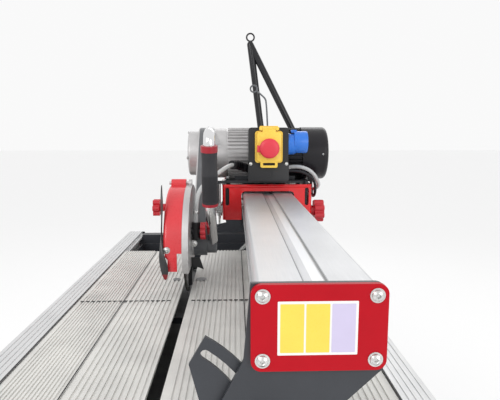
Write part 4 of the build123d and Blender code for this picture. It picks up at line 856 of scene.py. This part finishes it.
def inlet():
    """Blue power inlet: collar on the box, round body, and the lid with its hinge."""
    bm = bmesh.new()
    y, z = 0.169, TABLE + 0.3430
    box_x, lid_x = switch[1].x, switch[1].x + 0.0165
    collar = [(0, 0), (0.0295, 0), (0.0300, 0.0005), (0.0300, 0.0040), (0.0285, 0.0048), (0.0285, 0.0180), (0, 0.0180)]
    lathe_into(bm, collar, (box_x, y, z), X_AXIS, 64)
    lid = [(0, 0), (0.0300, 0), (0.0308, 0.0008), (0.0308, 0.0060), (0.0300, 0.0068), (0.0300, 0.0340),
           (0.0290, 0.0365), (0.0265, 0.0375), (0.0255, 0.0368), (0, 0.0368)]
    lathe_into(bm, lid, (lid_x, y, z + 0.0055), X_AXIS, 64)
    slab_into(bm, rounded(0.016, 0.008, 0.003), (lid_x, y - 0.008, z + 0.0350), X_AXIS, Z_AXIS, -0.016, 0.001)
    return piece("inlet_with_lid", bm, "inlet_blue", "head", 40)


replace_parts(inlet(), "power_inlet")

# painted shade: a black strip behind the carriage's left slot, so the slot shows dark
slab("slot_painted_shade", rounded(0.016, 0.060, 0.003), (0.040, shell_front + 0.0085, TABLE + 0.195), X_AXIS, Z_AXIS,
     0.0025, "painted_shade_black", "carriage")

# -------------------------------------------------------- rail ends and feet
rail_verts = [v.co for v in frame["nodes"]["side_rails"].data.vertices]
for side_name, sign in (("left", -1), ("right", 1)):
    chosen = [v.x for v in rail_verts if v.x * sign > 0]
    low_x, high_x = min(chosen), max(chosen)
    wide, tall = high_x - low_x, rails[1].z - rails[0].z
    for end_name, y, away in (("near", rails[0].y, -1), ("far", rails[1].y, 1)):
        across = X_AXIS * (1 if away < 0 else -1)
        centre = ((low_x + high_x) / 2, y, (rails[0].z + rails[1].z) / 2)
        slab(f"rail_cap_{side_name}_{end_name}", rounded(wide - 0.001, tall - 0.001, 0.004), centre, across, Z_AXIS,
             0.003, "black_plastic", "bench", 0.0012)
for name, body in (("near_feet", "near_leg_set"), ("far_feet", "far_leg_set")):
    low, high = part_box(name)
    size = (high.y - low.y) / 2
    inner, outer = size * 0.86, size * 0.985
    bm = bmesh.new()
    for x in (low.x + size, high.x - size):
        for k in range(3):
            z = 0.008 + 0.009 * k
            ring = [(inner, z), (outer, z + 0.0015), (outer, z + 0.0035), (inner, z + 0.005), (inner, z)]
            lathe_into(bm, ring, (x, (low.y + high.y) / 2, 0), Z_AXIS, 40)
    piece(f"{name}_rings", bm, "black_rubber", body)

# -------------------------------------------------------------- the stage
floor_mesh = bmesh.new()
bmesh.ops.create_grid(floor_mesh, x_segments=1, y_segments=1, size=30)
floor = piece("floor", floor_mesh, "sticker_white", None)
floor_finish = bpy.data.materials.new("floor_pale")
floor_finish.use_nodes = True
floor_shader = floor_finish.node_tree.nodes["Principled BSDF"]
socket(floor_shader, "Base Color", (0.95, 0.95, 0.95, 1))
socket(floor_shader, "Roughness", 0.8)
floor.data.materials.clear()
floor.data.materials.append(floor_finish)
floor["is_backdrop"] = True

world = bpy.data.worlds.new("studio")
bpy.context.scene.world = world
world.use_nodes = True
socket(world.node_tree.nodes["Background"], "Color", (1.0, 1.0, 1.0, 1))
socket(world.node_tree.nodes["Background"], "Strength", 0.95)
bpy.context.scene.view_settings.view_transform = "Standard"


def soft_light(name, at, target, size, power):
    lamp = bpy.data.objects.new(name, bpy.data.lights.new(name, "AREA"))
    lamp.data.shape = "RECTANGLE"
    lamp.data.size, lamp.data.size_y = size
    lamp.data.energy = power
    lamp.location = at
    lamp.rotation_euler = (Vector(target) - Vector(at)).to_track_quat("-Z", "Y").to_euler()
    bpy.context.collection.objects.link(lamp)


LOOK_AT = (0, 0.1, TABLE + 0.15)
soft_light("key", (-1.6, -2.3, 2.3), LOOK_AT, (1.6, 1.2), 26)
soft_light("fill", (1.9, -2.4, 1.5), LOOK_AT, (1.8, 1.6), 16)
soft_light("rim", (0.6, 2.6, 2.6), LOOK_AT, (2.0, 1.0), 9)

size = {"cad": [list(c) for c in cad_box], "visual": [list(c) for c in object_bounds()]}
